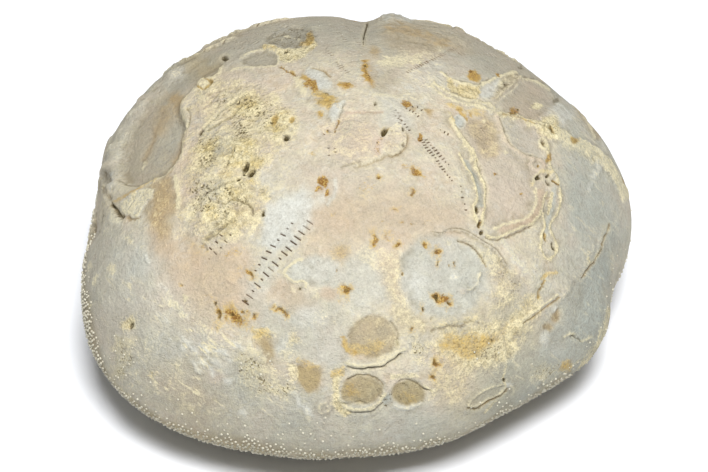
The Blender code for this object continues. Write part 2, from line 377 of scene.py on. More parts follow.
class Stroke:  # a ridge, a groove or a line of colour that follows a path
    def __init__(self, places, wide, high=0, shape="round", closed=False, lumps=.3, fine=.3, loose=1,
                 **coats):
        self.curve = smoothPath(places, closed)
        self.wide, self.high, self.shape, self.closed = wide, high, shape, closed
        self.lumps, self.fine, self.loose, self.coats = lumps, fine, loose, coats
        self.reach = 3 * np.max(wide)

    def cover(self, ground):
        low, high = self.curve.min(0) - self.reach, self.curve.max(0) + self.reach
        found, points, shows = ground.near(low, high, self.loose, np.max(self.wide))
        distance, way, side = alongPath(points, self.curve, self.closed)
        away = distance / between(self.wide, way)
        ends = 1 if self.closed else smoothstep(way / .08 + .15) * smoothstep((1 - way) / .08 + .15)
        if self.shape == "flat":
            share = smoothstep((1.25 - away) * 2.2)
        elif self.shape == "rim":  # two crests with a crease between them
            crests = np.exp(-(((away - .85) / .4) ** 2)) * (.8 + .2 * side)
            share = crests + .35 * np.exp(-((away / 1.5) ** 2))
        elif self.shape == "ledge":
            share = np.where(side > 0, np.exp(-away), 0) * smoothstep(side * away * 6)
        elif self.shape == "cut":
            share = smoothstep(1.3 - 1.3 * away)
        else:
            share = np.exp(-(away**2))
        return found, share * ends * shows, way

    def apply(self, skin):
        found, share, way = self.cover(skin.ground)
        uneven = 1 + self.lumps * grain(skin.spots[found], 1.6, 31, 2)
        skin.lift[found] += between(self.high, way) * share * uneven
        wearAndCrestHighlight = 1.1 + .6 * self.lumps * grain(skin.spots[found], .9, 37)
        skin.lay(found, np.clip(share * wearAndCrestHighlight, 0, 1), self.coats)


class Patch:  # an area with an outline
    def __init__(self, places, high=0, slope=1, lumps=0, lumpSize=3, fine=None, texture=None, loose=1,
                 **coats):
        self.curve = smoothPath(places, closed=True, steps=4)
        self.middle = self.curve.mean(axis=0)
        self.axes = np.linalg.svd(self.curve - self.middle)[2][:2].T
        self.high, self.slope, self.lumps, self.lumpSize = high, slope, lumps, lumpSize
        self.fine, self.texture, self.loose, self.coats = fine, texture, loose, coats

    def cover(self, ground):
        margin = self.slope + 1
        low, high = self.curve.min(0) - margin, self.curve.max(0) + margin
        found, points, shows = ground.near(low, high, self.loose, self.slope)
        points, outline = (points - self.middle) @ self.axes, (self.curve - self.middle) @ self.axes
        ahead = np.roll(outline, -1, axis=0)
        step = ahead - outline
        offset = points[:, None] - outline[None]
        t = np.clip((offset * step).sum(2) / (step**2).sum(1), 0, 1)
        distance = np.linalg.norm(offset - t[..., None] * step, axis=2).min(axis=1)
        above, aboveAhead = outline[:, 1] > points[:, 1:2], ahead[:, 1] > points[:, 1:2]
        rise = np.where(step[:, 1] == 0, 1, step[:, 1])
        crossing = outline[:, 0] + (points[:, 1:2] - outline[:, 1]) / rise * step[:, 0]
        inside = ((above != aboveAhead) & (points[:, 0:1] < crossing)).sum(axis=1) % 2 == 1
        signed = np.where(inside, distance, -distance)
        return found, smoothstep(.5 + signed / self.slope) * shows, signed

    def apply(self, skin):
        found, share, signed = self.cover(skin.ground)
        here = skin.spots[found]
        rise = self.high * share
        if self.lumps:
            rise = rise + share * self.lumps * grain(here, self.lumpSize, 41, 3)
        if self.texture:
            rise = rise + share * self.texture(here, skin, found, share)
        skin.lift[found] += rise
        skin.lay(found, share, self.coats)


class Dab:  # a round or oval pit, knob or blot
    def __init__(self, place, radius, high=0, stretch=1, turn=0, edge=.6, fine=None, loose=1, **coats):
        self.middle = spotOf(place)
        self.radius, self.high, self.stretch = radius, high, stretch
        self.turn, self.edge = math.radians(turn), edge
        self.fine, self.loose, self.coats = fine, loose, coats

    def cover(self, ground):
        reach = self.radius * self.stretch * (1 + self.edge)
        low, high = self.middle - reach, self.middle + reach
        found, points, shows = ground.near(low, high, self.loose, self.radius)
        offset = points - self.middle
        if len(self.middle) == 3:
            outward = self.middle - np.array([0, 0, 8.0])
            flatAcross = np.cross((0, 0, 1.0), outward)
            flatAcross /= np.linalg.norm(flatAcross)
            flatUp = np.cross(outward, flatAcross) / np.linalg.norm(outward)
            offset = np.stack([offset @ flatAcross, offset @ -flatUp], axis=1)
        turn = np.array([math.cos(self.turn), -math.sin(self.turn)])
        a, b = offset @ turn / self.stretch, offset[:, 0] * turn[1] - offset[:, 1] * turn[0]
        away = np.sqrt(a * a + b * b) / self.radius
        return found, smoothstep((1 + self.edge - away) / (2 * self.edge)) * shows, away

    def apply(self, skin):
        found, share, away = self.cover(skin.ground)
        skin.lift[found] += self.high * share
        skin.lay(found, share, self.coats)


def cut(path, wide, deep, **settings):  # a crack or a crease; a dark coat given to it is painted shade in the crease
    return Stroke(path, wide, -deep, "cut", **settings)


def ring(path, wide, high, **settings):
    return Stroke(path, wide, high, closed=True, **settings)


def tint(path, slope, loose=3, **coats):
    return Patch(path, 0, slope, loose=loose, **coats)


def blot(place, radius, stretch=1, turn=0, loose=3, **settings):
    return Dab(place, radius, 0, stretch, turn, .9, loose=loose, **settings)


# a pit; a dark coat given to it is painted shade inside the pit
def hole(place, radius, deep, stretch=1, turn=0, fine=.18, **settings):
    return Dab(place, radius, -deep, stretch, turn, .4, fine, **settings)


hollow = {"deep": 1.3, "slope": 2.0, "lip": .36, "edge": .22}


def leftHollow():  # the big smooth scar high on the left, with the broken shell round it
    made = [
        Patch("221,61 207,72 195,81 184,92 176,103 182,121 178,150 163,171 148,178 131,184 119,181 115,165 "
            "117,148 124,128 138,106 155,88 172,74 190,63 207,57", -hollow["deep"], hollow["slope"], .12, 5,
            taupe=.55, loose=.3),
        Stroke("222,58 220,65 213,75 205,79 193,81 191,87 184,93 177,103 177,109 182,120 183,127 179,142 "
            "178,153 172,163 161,172 152,177 142,182 136,188", .55, hollow["lip"], "ledge", cream=.95,
            lumps=.5, fine=.28),
        cut("185,107 188,113 188,120 184,131", .22, .3, dark=.45, fine=.22),
        Stroke("104,186 104,175 109,160 114,142 121,125 130,110 142,95 153,84 167,74 186,64 203,57 217,55",
            1.1, hollow["edge"], cool=.3, taupe=.3, lumps=.35, fine=.4),
        cut("114,179 122,182 142,180", .3, .25, dark=.5, lumps=.2),
        Stroke("112,165 116,150 122,131 131,114 143,98", .35, .05, white=.2, cream=.2, lumps=.8),
        Stroke("138,155 135,165", .2, .1, cream=.6),
        Stroke("158,104 151,122 143,142 135,158", .5, -.12, tan=.5, taupe=.8, fine=.5),
        Stroke("150,128 158,112 160,98", 1.4, .1, tan=.5),
        Stroke("172,116 170,130 160,146", 1.7, -.12, cool=.28),
        Stroke("146,160 155,145 164,128", .9, .1, cool=.15),
        Stroke("128,168 130,148 138,126", 1.6, .05, moss=.25, white=.15),
        tint("161,92 172,88 181,93 177,103 168,104", 2, tan=.8, loose=2),
        Stroke("181,128 177,146 168,160", .9, tan=.55),
        Stroke("160,84 176,76 196,66", 1.5, cool=.4, taupe=.4),
        Dab((174, 69), .9, 0, 1.6, 30, white=.5, crust=.3),
        Dab((202, 84), .9, .35, 1.5, 10, .3, blush=.5, cream=.6, fine=.24),
        cut("196,86 200,89 207,87 210,82 204,80", .2, .25, ochre=.8, tan=.6, fine=.22),
        Dab((210, 82), .3, -.2, 1.4, 70, ochre=.7, dark=.5, fine=.22),
        Patch("148,188 152,191 144,203 136,217 128,215 120,211 119,203 127,196 138,190", .35, .5, .14, 1.3,
            .3, white=.9, cream=.6, crust=.4),
        Stroke("156,177 146,182 136,189 122,197 110,203", .4, .3, ochre=.6, tan=.5, lumps=.6),
        cut("108,203 112,207 116,213 121,216", .5, .45, dark=.75, tan=.6, lumps=.9, fine=.28),
        cut("120,214 126,217 133,219 139,216", .3, .2, tan=.8),
        Dab((113, 218), .9, .15, 1.4, -30, white=.6, cream=.5),
        tint("149,186 158,178 170,174 174,192 172,215 168,238 157,232 147,212", 3.2, tan=.85, taupe=.3,
            specks=.25, crust=.18, loose=2.5),
        tint("150,228 168,232 172,250 160,262 150,246", 3, blush=.5, tan=.4),
        Stroke("174,174 176,190 176,209", .42, .15, cream=1, fine=.35),
        Stroke("186,128 181,150 179,172 181,196", .9, .1, blush=.5, cream=.35),
        # a pit, its dark coat painted shade inside it
        Dab((107, 177), .85, -.75, 1.7, 80, dark=.45, taupe=.8, fine=.28),
        Stroke("109,171 111,181 109,189", .35, .35, white=.7, lumps=.7),
        cut("105,186 105,194 109,198", .5, .3, taupe=.7),
        # a pit, its dark coat painted shade inside it
        Dab((223, 57), .4, -.55, 1.8, -20, dark=.9, fine=.2),
    ]
    knobs = table("103,184 106,166 111,148 118,130 128,113 139,99 152,86 169,73 187,63")
    for k, (x, y) in enumerate(knobs):
        uneven = k * .618 % 1
        made.append(Dab(seen(x, y), .7 + .5 * uneven, .5 - .2 * uneven, 1.3, 60 * k, .8, cool=.3, fine=.5))
    for x, y, size, stretch in table("103,230,.4,1.4 127,240,.5,1.2 88,267,.45,2.2 93,280,.4,3 "
            "109,269,.8,1.2 86,306,.45,1.8 140,247,.35,1.3 121,236,.35,1"):
        made.append(Dab((x, y), size, .05, stretch, 85, cream=.75, white=.3, loose=2))
    return made


crust = {"rise": .15, "lumps": .22, "lumpSize": 2.0, "roughness": .14, "pitDepth": .3, "fine": .33}


def crumbly(spots, skin, found, share):  # the uneven top of the crust, with its many pits
    rough = crust["roughness"] * grain(spots, .9, 51, 2)
    where = skin.coats["specks"][found]
    holes = pitted(spots, 1.3, 56, .24) * np.clip(where * 2, 0, 1)
    return rough * (.6 + .6 * where) - crust["pitDepth"] * holes


def porousCrust():
    pits = table("245,167,.5,1.7,65 242,173,.28,1.5,40 250,173,.36,2.2,35 238,180,.28,1.2,0 "
        "285,138,.42,1.3,60 199,132,.3,2.2,60 262,213,.32,1.8,60 226,163,.2,1.3,0")
    yellow = table("247,104,2.2,.9 228,112,1.9,.5 262,112,1.6,.5 240,122,2.2,.5 275,124,1.8,.9 "
        "285,120,1.3,.6 238,154,2.6,1 252,164,1.6,.9 204,150,1.7,.9 212,160,1.2,.6 202,168,1.2,.5 "
        "228,176,1.3,.7 233,194,1.9,.9 246,200,1.3,.6 211,213,1.6,.8 232,222,2,.7 252,226,1.4,.5 "
        "200,226,1.4,.4 262,196,.9,.6 198,96,1,.3 213,98,1.5,.35")
    peppered = table("221,98,1.6,.5 243,106,2.4,.55 257,110,1.6,.6 240,130,1.8,.75 234,138,.9,.6 "
        "203,146,1.5,.7 206,156,1.6,.9 198,190,1.5,.9 204,200,1.8,1 197,206,1.2,.8 226,197,1.6,.6 "
        "240,203,1.4,.6 213,186,1.3,.5 268,122,1.6,.6 262,128,1,.5 224,214,1.4,.7 214,146,1.2,.5 "
        "283,118,1,.4 251,222,1.2,.3 226,161,1,.4 268,106,1.2,.4")
    made = [blot((x, y), size * 1.15, 1.2, 30, crust=amount) for x, y, size, amount in yellow]
    made += [blot((x, y), size, 1.2, 60, 2, specks=amount) for x, y, size, amount in peppered]
    made += [
        blot((216, 140), 2.6, 1.2, cool=.4), blot((190, 190), 2.2, 1.2, blush=.6),
        blot((260, 150), 2.6, 1.2, blush=.4), blot((222, 190), 1.6, 1.2, cool=.6),
        blot((208, 196), 1.8, 1.2, cool=.4), blot((262, 180), 1.5, 1.2, white=.4),
        blot((244, 213), 1.6, 1.2, tan=.4), blot((205, 108), 1.6, 1.2, blush=.6),
        Dab((236, 150), 2.2, .1, 1.3, 60, .9, crust=.6, cream=.4, loose=3),
        blot((225, 214), 1.8, 1.5, 30, cool=.4, taupe=.35),
        Patch("194,84 223,79 262,84 281,100 300,122 290,147 268,165 258,190 266,208 263,228 250,236 "
            "229,231 206,244 193,232 183,212 184,186 190,148 203,121 191,98", crust["rise"], 1.8,
            crust["lumps"], crust["lumpSize"], crust["fine"], crumbly, crust=.42, cream=.2, loose=2),
        tint("190,96 203,118 193,150 184,186 186,232 176,225 176,180 182,140 182,112", 2, crust=.3,
            blush=.3, ochre=.12),
        cut("197,138 203,130 211,121 220,112 229,104 237,98", .22, .5, cool=.9, dark=.5, fine=.2, loose=.5),
        cut("206,133 217,124 230,116 240,108", .25, .3, taupe=.7, loose=.5),
        cut("205,240 216,232 226,224 234,219", .6, .45, taupe=.9, cool=.3, dark=.2),
        cut("214,202 223,203 232,200 243,202 250,208 251,217", .3, .5, dark=.5, cool=.6),
        cut("213,228 219,221 224,213", .25, .4, dark=.45, cool=.4),
        cut("198,196 210,190 224,184 238,181", .3, .4, dark=.4, cool=.4),
        Stroke("232,178 244,184 252,178", .5, .35, crust=1, cream=.4, lumps=.8),
        Stroke("232,150 242,156 250,163", .9, .4, crust=1, cream=.5, lumps=.8),
        Patch("256,120 275,112 297,120 299,136 280,142 262,138", .05, 2.5, .15, cream=.3, loose=2),
        Patch("196,62 225,66 262,76 262,86 223,80 194,84", .1, 2, .15, blush=.5, loose=2),
        Dab((274, 121), .5, -.2, 2, 80, ochre=.9, dark=.3, fine=.25),
        Dab((291, 119), .35, -.2, 1.8, 70, ochre=.8, dark=.3, fine=.25),
    ]
    # the pits, painted dark as the shade inside them
    return made + [Dab((x, y), radius, -.75, stretch, turn, .5, dark=1, fine=.17, loose=1.2)
                   for x, y, radius, stretch, turn in pits]


shell = {"high": .34, "wide": .52}


def shellRims():  # what is left of the oyster shells on the right; the dark cuts beside the rims and the dark pits are painted shade
    high, wide = shell["high"], shell["wide"]
    upper = table("437,69 444,74 450,79 457,82 463,84 471,85 478,85 484,82 490,80 496,77 501,75 512,72 "
        "520,74")
    band = table("430,83 438,89 448,95 458,99 468,102 478,104 487,107 494,112")
    ribbon = table("552,131 560,136 567,140 578,145 589,151 599,158 607,167 614,177 621,189 627,203")
    return [
        Stroke(upper, .3, high * .9, cream=1, lumps=.5, fine=.22),
        cut(shifted(upper[1:9], 0, -2.2), .2, .25, taupe=.7, dark=.3, fine=.24),
        Patch("447,78 457,85 478,87 482,92 476,97 460,96 450,90 446,84", .15, .8, .35, 1, .24, ochre=.3,
            crust=.9, cream=.5, streaks=.7, loose=1.5),
        Patch("480,87 492,81 499,80 497,90 490,97 480,96", 0, 1, .2, 1.5, .3, white=.7, cool=.3),
        Patch("500,77 516,73 519,79 509,88 500,95 493,100 492,94", .1, 1, .3, 1.2, .28, cream=.4, tan=.35,
            specks=.4),
        Stroke(band, (wide * .9, wide * 1.1), high * 1.1, "rim", cream=.85, crust=.4, lumps=.4, fine=.22),
        cut(shifted(band[1:7], 0, -4.5), .2, .3, taupe=.5, dark=.3, fine=.24),
        Stroke(shifted(band[2:7], -2, 8), .5, .1, ochre=.45, cream=.5, loose=2),
        Stroke("457,109 463,112 470,118", .4, ochre=.9, fine=.35, loose=3),
        Stroke("495,113 506,115 517,117 526,120 535,123 542,127 550,130", (wide * .55, wide * .9), high,
            "rim", cream=.7, crust=.7, lumps=.4, fine=.22),
        Stroke("500,114 512,116 524,119 536,124", .25, 0, "cut", ochre=.55, blush=.4, fine=.24),
        Dab((548, 128), 1.6, .25, 1.1, 0, .7, crust=1, cream=.7, fine=.28),
        Dab((549.5, 129), .35, -.3, 2.2, -60, dark=.7, ochre=.7, fine=.2),
        Stroke(ribbon, (1, .75), (high, high * .6), "flat", cream=.7, crust=.3, streaks=.5, lumps=.4,
            fine=.26),
        Stroke(shifted(ribbon[1:6], -1.5, 6.5), .7, .05, cream=.5, loose=2),
        Dab((572.5, 141.5), .75, -.15, 1.1, 0, .5, ochre=.9, dark=.35, fine=.22),
        Stroke("593,150 598,154 602,158", .35, .25, white=1),
        Stroke("491,102 498,98 504,92 511,88 517,81 521,79", .45, high * .7, "rim", cream=.5, blush=.5,
            lumps=.4, fine=.24),
        Stroke("517,77 525,78 535,80 543,85 551,91", .32, high * .5, cream=.7, fine=.28),
        cut("518,75.5 527,76 537,78.5 546,84", .22, .25, taupe=.7, dark=.35, fine=.25),
        Stroke("494,112 498,120 501,130 505,140 512,147 520,153 528,158 535,162", wide * .9, high * .9,
            cream=.3, blush=.8),
        cut("497.5,116 503.5,126 505.5,134 508.5,142 516,148.5 525.5,154.5 538,157", .25, .4, dark=.4,
            taupe=.8, lumps=.2, fine=.2),
        Stroke("552,107 560,113 567,121", 1.6, .1, white=.6, loose=3),
        Stroke("572,103 580,115 587,128 593,141", .28, .25, cream=.6, fine=.35),
        Stroke("576,104 586,122 597,140", .9, tan=.5, taupe=.5),
        Dab((556.5, 99.5), .5, -.4, 1.3, 30, dark=.55, taupe=.6, fine=.28),
        Dab((520.5, 66), .35, -.3, 1.8, -20, dark=.55, fine=.28),
        Dab((505, 85), .3, -.2, 1.3, 40, dark=.6, fine=.26),
        Dab((536.5, 105.5), .7, .05, 1.6, cream=.8, crust=.8, loose=2),
        Dab((513.5, 110.5), .9, -.1, 1.1, rust=.75, specks=.8, fine=.28, loose=2),
        Stroke("597,158 598,168 594,178", .45, .12, white=.8, cream=.4, lumps=.8, loose=2),
        Stroke("593,180 589,187 592,192", .3, .1, white=.7, lumps=.8, loose=2),
        # the tall ridge on the panel's left side
        Stroke("448,117 454,127 460,135 465,143 470,152 474,163", (.35, .75), high * 1.1, "flat", cream=.7,
            crust=.5, lumps=.5, fine=.24),
        cut("451,118 458,128 464,136 468,142 473,151 476,162 482,178 486,192 485,204", .28, .45, dark=.45,
            taupe=.6, fine=.2),
        Stroke("465,141 471,154 475,168 482,183 484,194 483.5,205 482,216 482,226", .26, high * 1.3,
            cream=.75, crust=.8, lumps=.4, fine=.2),
        Stroke("457,150 463,165 469,175 474,187 476,196 475,206 475.5,216 478,226", .22, high * 1.1,
            cream=.85, crust=.8, lumps=.4, fine=.2),
        Stroke("463,158 470,171 477,186 480,198 480,207", .5, .1, cool=.8, taupe=.35),
        Stroke("448,112 450,117 453,123", .5, .3, cream=.8, ochre=.5, fine=.26),
        hole((477, 209), .32, .7, 2.4, 85, dark=1, rust=.5),
        hole((479, 223), .34, .6, 1.8, 70, dark=.8, rust=.9),
        hole((481.5, 231.5), .4, .5, 1.2, 20, dark=.9, rust=.6),
        Dab((459.5, 121), 1, -.15, 1.25, 75, .3, white=.6, cool=.9, fine=.26),
        ring("454,119 457,115 463,117 465,123 462,128 457,126", .2, .2, white=.6, fine=.24),
        # the shell along the panel's lower and right edge
        Stroke("483.5,234 491,237.5 501,236.5 511,232 521,227.5 530,224 537,217 541.5,208 544.5,197 "
            "547,190", .22, high * 1.1, cream=.85, crust=.7, lumps=.4, fine=.2),
        cut("484,236.5 491,240 502,239 513,234.5 523,230 532,226", .22, .3, taupe=.7, dark=.3, fine=.24),
        Stroke("491,231 502,225 514,222 524,219 533,210 536,197 535,186", .3, high * .9, cream=.75,
            crust=.3, lumps=.5, fine=.24),
        Stroke("497,231 512,227 526,222 537,211 540,197 541,187", .6, .15, blush=.8, tan=.3),
        Stroke("542,137 545,146 548,158 549,168 557,180 558.5,191 559,203 556,214 550.5,223 548.5,231 "
            "554,240 556,249 552,257 546,259.5 541.5,255 540,245 540.5,235 543,226 542,214 547,201", .22,
            high * 1.2, cream=.7, crust=.7, lumps=.4, fine=.2),
        Stroke("553,186 553,200 551,212 546,224 545,238", .45, .15, cool=.7, white=.3, fine=.26),
        Stroke("551,192 549,206 547,216", .25, high, crust=.8, cream=.8, fine=.22),
        ring("539,141 541,138 544,141 546,147 544,150 541,147", .28, high * .9, cream=.9, fine=.22),
        hole((542, 143), .3, .5, 2.2, -70, dark=.85, ochre=.6),
        Dab((548, 158), .4, -.15, 2, 85, rust=.8, ochre=.9, fine=.24),
        hole((537.5, 177), .38, .6, 1.3, 50, dark=1, rust=.4), hole((547, 176), .28, .5, 1.4, 20, dark=.9),
        hole((547.5, 183), .28, .5, 1.8, -60, dark=.9),
        cut("551,180 556,183 559,186", .22, .4, rust=.9, dark=.6, fine=.2),
        Stroke("533,186 534,178 539,172 547,172 554,177", .4, high, cream=.8, ochre=.4, lumps=.8, fine=.24),
        hole((552.5, 247), .28, .7, 3, -75, dark=1),
        hole((544, 237), .3, .4, 2.2, -65, dark=.6, ochre=.8, fine=.2),
        ring("530,163 533,160 539,160 543,164 541,169 535,170 531,167", .25, .25, blush=.9, cream=.2,
            fine=.24),
        Dab((537, 165), .22, -.3, rust=1, dark=.5, fine=.22),
        Dab((495, 173.5), .2, -.15, rust=.9, fine=.26), Dab((521, 193.5), .2, -.15, rust=.9, fine=.26),
        Stroke("501,239 508,248 515,258 521,267 524,274", .5, .12, white=.8, cream=.6, lumps=.8, loose=2.5),
        tint("468,120 485,116 497,126 498,150 486,156 474,142", 2, specks=.3, tan=.5, crust=.3, ochre=.1,
            loose=2.5),
        Dab((484, 121), .35, .12, cream=.8, fine=.3), Dab((505, 152), .35, .12, cream=.7, fine=.3),
        Dab((510, 125), .25, .1, cream=.7, fine=.3), Dab((517, 139), .25, .1, cream=.7, fine=.3),
        Patch("506,120 522,122 538,129 541,142 538,156 524,151 512,143 506,132", -.12, 1.2, cool=.35,
            blush=.3),
        Patch("512,88 526,82 540,88 552,100 548,112 536,120 516,114 502,108 503,96", -.1, 1.5, taupe=.55,
            blush=.4),
        Patch("455,128 480,112 494,120 503,145 532,166 531,205 498,226 488,222 486,185 472,152", -.12, 2,
            .06, blush=.45, taupe=.08, cool=.15),
        tint("560,150 600,175 625,215 628,245 600,250 566,235 563,190", 5, cool=.8, loose=2),
    ]


scar = {"lip": .24, "floor": .2}


def oysterScars():  # the round scars low on the rear and to its right; the dark cuts under their lips and ledges and the dark pits are painted shade
    lip, floor = scar["lip"], scar["floor"]
    return [
        Patch("404,256 414,245 430,237 446,234 462,239 475,246 484,260 487,278 480,297 468,309 450,316 "
            "428,315 412,306 402,292 399,274", -.2, 1.6, .15, 2.5, white=.35, cool=.55),
        cut("457,240 465,241.5 473,246.5 479,253 484,261 486.5,268", .22, .3, dark=.5, tan=.5, fine=.2,
            loose=.5),
        Stroke("431,232.5 437,234.5 443,233 449,230 459,231 469,234.5 478,239.5 485,245 494,251 500,259 "
            "506,269 510,276", .5, .45, "ledge", blush=.5, white=.4, fine=.24, loose=.5),
        cut("431,231 438,233 444,231.5 450,228 460,229 470,232.5 479,237.5 487,243 496,249 503,258 508,268",
            .2, .3, dark=.4, taupe=.5, fine=.2, loose=.5),
        Stroke("482,252 490,262 494,275", 1.4, .1, crust=.3, cream=.4),
        Stroke("478,271 479,277 476,284 470,289 465,290.5", .32, .38, white=1, cream=.6, fine=.22),
        Dab((461, 291), .55, .15, 1.3, blush=1, rust=.25, fine=.28),
        Dab((454, 277), .7, .15, 1.2, 40, white=1, cream=.3),
        Stroke("440,262 447,272 450,284", 1.1, -.08, cool=.6, taupe=.2, loose=2),
        Stroke("415,245 428,243 433,256 426,268", .7, taupe=.3, cool=.4, loose=2),
        blot((417, 287), 2.4, 1.3, 60, white=.8, loose=2),
        Dab((429, 262), 1.3, -.1, 1.2, 60, taupe=.3, cool=.5),
        Dab((447, 242.5), .5, .05, cream=.8, ochre=.2),
        Stroke("430,331 443,326 455,323 469,320.5 480,321", .7, .2, "ledge", crust=.4, ochre=.2),
        cut("428,333 443,328.5 456,325.5 470,323 482,322.5", .3, .12, dark=.12, taupe=.7, fine=.26,
            loose=2),
        Dab((464, 312), .35, .1, white=.9), Dab((452, 313), .3, .1, white=.8),
        tint("383,262 398,258 400,288 409,308 428,320 424,331 398,326 386,300", 1.6, tan=.3, cream=.45,
            crust=.25, loose=2),
        # the four small scars
        Patch("346,337 352,325 364,316 378,315 390,323 397,336 394,349 382,357 366,358 353,352", -floor, .9,
            .1, 1.6, .42, tan=.45, taupe=.25, moss=.2, cool=.2, crust=.15, specks=.2),
        Stroke("341,335 344,344 350,350 358,353", .55, .1, ochre=.85, lumps=.5, loose=1.5),
        tint("347,336 362,340 384,346 378,355 362,357 351,350", 2.5, crust=.3, ochre=.42, moss=.5, tan=.4),
        blot((381, 331), 1.3, 1.4, 60, cool=.5, crust=.3, loose=2),
        cut("390,321 395.5,328 398,337 396,346", .3, .35, dark=.32, fine=.2),
        Stroke("343.5,362 350,365 361,366.5 372,365.5 383,363 390.5,357.5 399,351.5 406,349", .34,
            lip * 1.3, cream=.8, white=.6, fine=.22, loose=.5),
        cut("346,366 352,369 362,369.5 373,368 384,366 393,359.5 401,353.5", .22, .35, dark=.32, taupe=.5,
            fine=.2),
        Stroke("398,340 395,350 386,358 374,361", .5, .15, cream=.6),
        Patch("341,393 345,382 358,377.5 372,378.5 381,387 381,396 372,404 357,405.5 345,402", -floor, .8,
            .12, 1.3, .4, tan=.5, moss=.55, specks=.3),
        blot((352, 391), 1.2, 1.3, 80, ochre=.55, tan=.8, loose=2),
        Dab((374, 393), 1.5, 0, 1.2, 80, .8, cool=1, taupe=.6, loose=2),
        cut("345,381 352,378.5 361,376.5 371,377 378.5,381 382.5,388", .22, .3, dark=.32, tan=.5, fine=.2),
        cut("339,404 347,406 354,405 361,403.5 368,407", .2, .25, dark=.32, fine=.2),
        Stroke("337,396 342,406 352,410.5 362,411.5 372,409 380,401.5 386,393", .36, lip, cream=.85,
            lumps=.6, fine=.24, loose=.5),
        cut("348,413.5 360,414.5 373,412.5 383,404", .22, .25, dark=.32, fine=.22, loose=.5),
        Patch("392,395 396,386 406,382 417,385 424,393 420,402 409,407 397,404", -floor, .8, .12, 1.3, .4,
            tan=.3, taupe=.5, moss=.7, specks=.35),
        blot((408, 399), 1.1, 1.5, ochre=.25, moss=.4, loose=2),
        blot((409, 387), .8, 1.6, cool=.8, taupe=.4, loose=2),
        cut("397,383 403,380.5 410,382 418,386 424,390 433,391.5", .22, .3, dark=.32, fine=.2, loose=.5),
        Stroke("421,386 427,389 434,392", .3, .25, cream=.8, fine=.24),
        Stroke("391,407 401,410 412,408 421,403", .36, lip, white=.8, cream=.4, fine=.24),
        Dab((386.5, 401), 1, -.1, 1.3, 60, .8, specks=1, cool=.8, taupe=.6, fine=.28),
        Stroke("388,376 397,377 408,377 418,378", .6, .15, cream=.8, crust=.4, lumps=.7),
        Stroke("328,378 336,372 346,371", .8, .1, ochre=.5, crust=.5, loose=2),
        Patch("297,367 308,367 319,369 319,381 313,392 305,393 297,382", -.12, .9, .1, 1.5, .3, tan=.8,
            taupe=.35, moss=.5, specks=.2, loose=1.2),
        Stroke("293,362 302,363 310,366 320,368", .5, .1, ochre=.6, cream=.4, loose=2),
        Dab((291, 374), 1, 0, 1.4, 80, crust=.5, cream=.4, loose=2),
        ring("319,406 325,404 328,409 324,414 318,412", .3, .25, cream=.5, cool=.3, fine=.26),
        Patch("297,261 289,267 285,274 289,279 296,282 303,281 310,286 326,284 336,276 334,262 318,256 "
            "305,257", -.1, .8, .08, 2, cool=.45, white=.5),
        tint("318,262 340,262 352,272 345,288 322,286", 2, cool=.35, white=.4),
        Stroke("304,257 296,261 288,266 284,273 288,279 294,282 299,281 304,284 305,290", .26, .25,
            cream=.95, white=.5, fine=.22),
        hole((299, 289), .25, .4, 1.2, 80, dark=.9),
        Dab((291.5, 289.5), .6, .15, cream=.5, blush=.3, fine=.28),
        Stroke("315,259 320,261 318,263", .2, .15, white=.9, fine=.26),
        # the lower right
        Stroke("515,330 521,324 537,312.5 549,303 558,296 566,287 577,274 588,260 596,245 602,232 609,221",
            1, .35, cream=.22, blush=.4, lumps=.5, fine=.35, loose=2),
        cut("521,325 536,314 549,304.5 559,297", .2, .3, tan=.9, rust=.3, fine=.22, loose=.4),
        Stroke("519,322 534,311 547,301.5 557,294", .2, .25, cream=.8, fine=.22, loose=.4),
        cut("611,222 604,240 598,254 590,267 580,279", .3, .35, tan=.7, taupe=.6, fine=.26),
        Stroke("601,246 595,258 586,264 590,250", .4, .2, cream=.5, crust=.4, lumps=.8),
        cut("537,300 540,289 546,280", .35, .2, ochre=.8, dark=.4, fine=.26),
        Stroke("540,280 548,274 558,274", .35, .25, ochre=.6, crust=.6, lumps=.7),
        Dab((554, 310), .45, .15, white=.9), Dab((545, 339), .75, .1, 1.5, 80, white=.8, cool=.5),
        Dab((555.5, 317), .65, -.3, 1.7, 80, tan=.8, dark=.45, fine=.28),
        Dab((548, 328), .6, -.2, 1.5, 20, tan=.8, dark=.35, fine=.28),
        Dab((553, 335), 2.2, 0, 1.3, 30, taupe=.6, blush=.3),
        Stroke("563,338 567,334.5 573,335", .3, .2, cream=.6, fine=.28),
        cut("570,336 576,339 578.5,343", .25, .3, dark=.5, fine=.24),
        Stroke("578,342 583,339 587,337", .28, .2, cream=.7, fine=.28),
        Stroke("503,338 504,353 504.5,371 504.5,381 506,389", .3, .15, cream=.8, crust=.5, lumps=.9,
            fine=.28, loose=1.5),
        hole((504.5, 381.5), .28, .4, 1.4, 85, dark=.9, fine=.2),
        Stroke("467,408 472,400 482,392 495,387 505,386", .18, .2, cream=.6, fine=.22, loose=.5),
        cut("466,409.5 477,409 488,403 501,397 509,389", .25, .3, tan=.9, rust=.3, dark=.3, fine=.22,
            loose=.5),
        Stroke("468,407 478,406 488,400.5 500,394 507,388", .25, .2, cream=.6, fine=.26),
        Stroke("509,386 513,390 515,397", .25, .15, cream=.6), Dab((509, 387), .5, .15, white=.8),
        Stroke("484,416 490,408 497,402", .25, .15, crust=.5, cream=.4),
        Stroke("611,306 604,318 598,330 592,343 584,357 574,368", .9, .15, cream=.35, crust=.45, lumps=.8),
        Dab((565.5, 367), .9, .05, 1.4, 80, ochre=.7, crust=.5, loose=2),
    ]


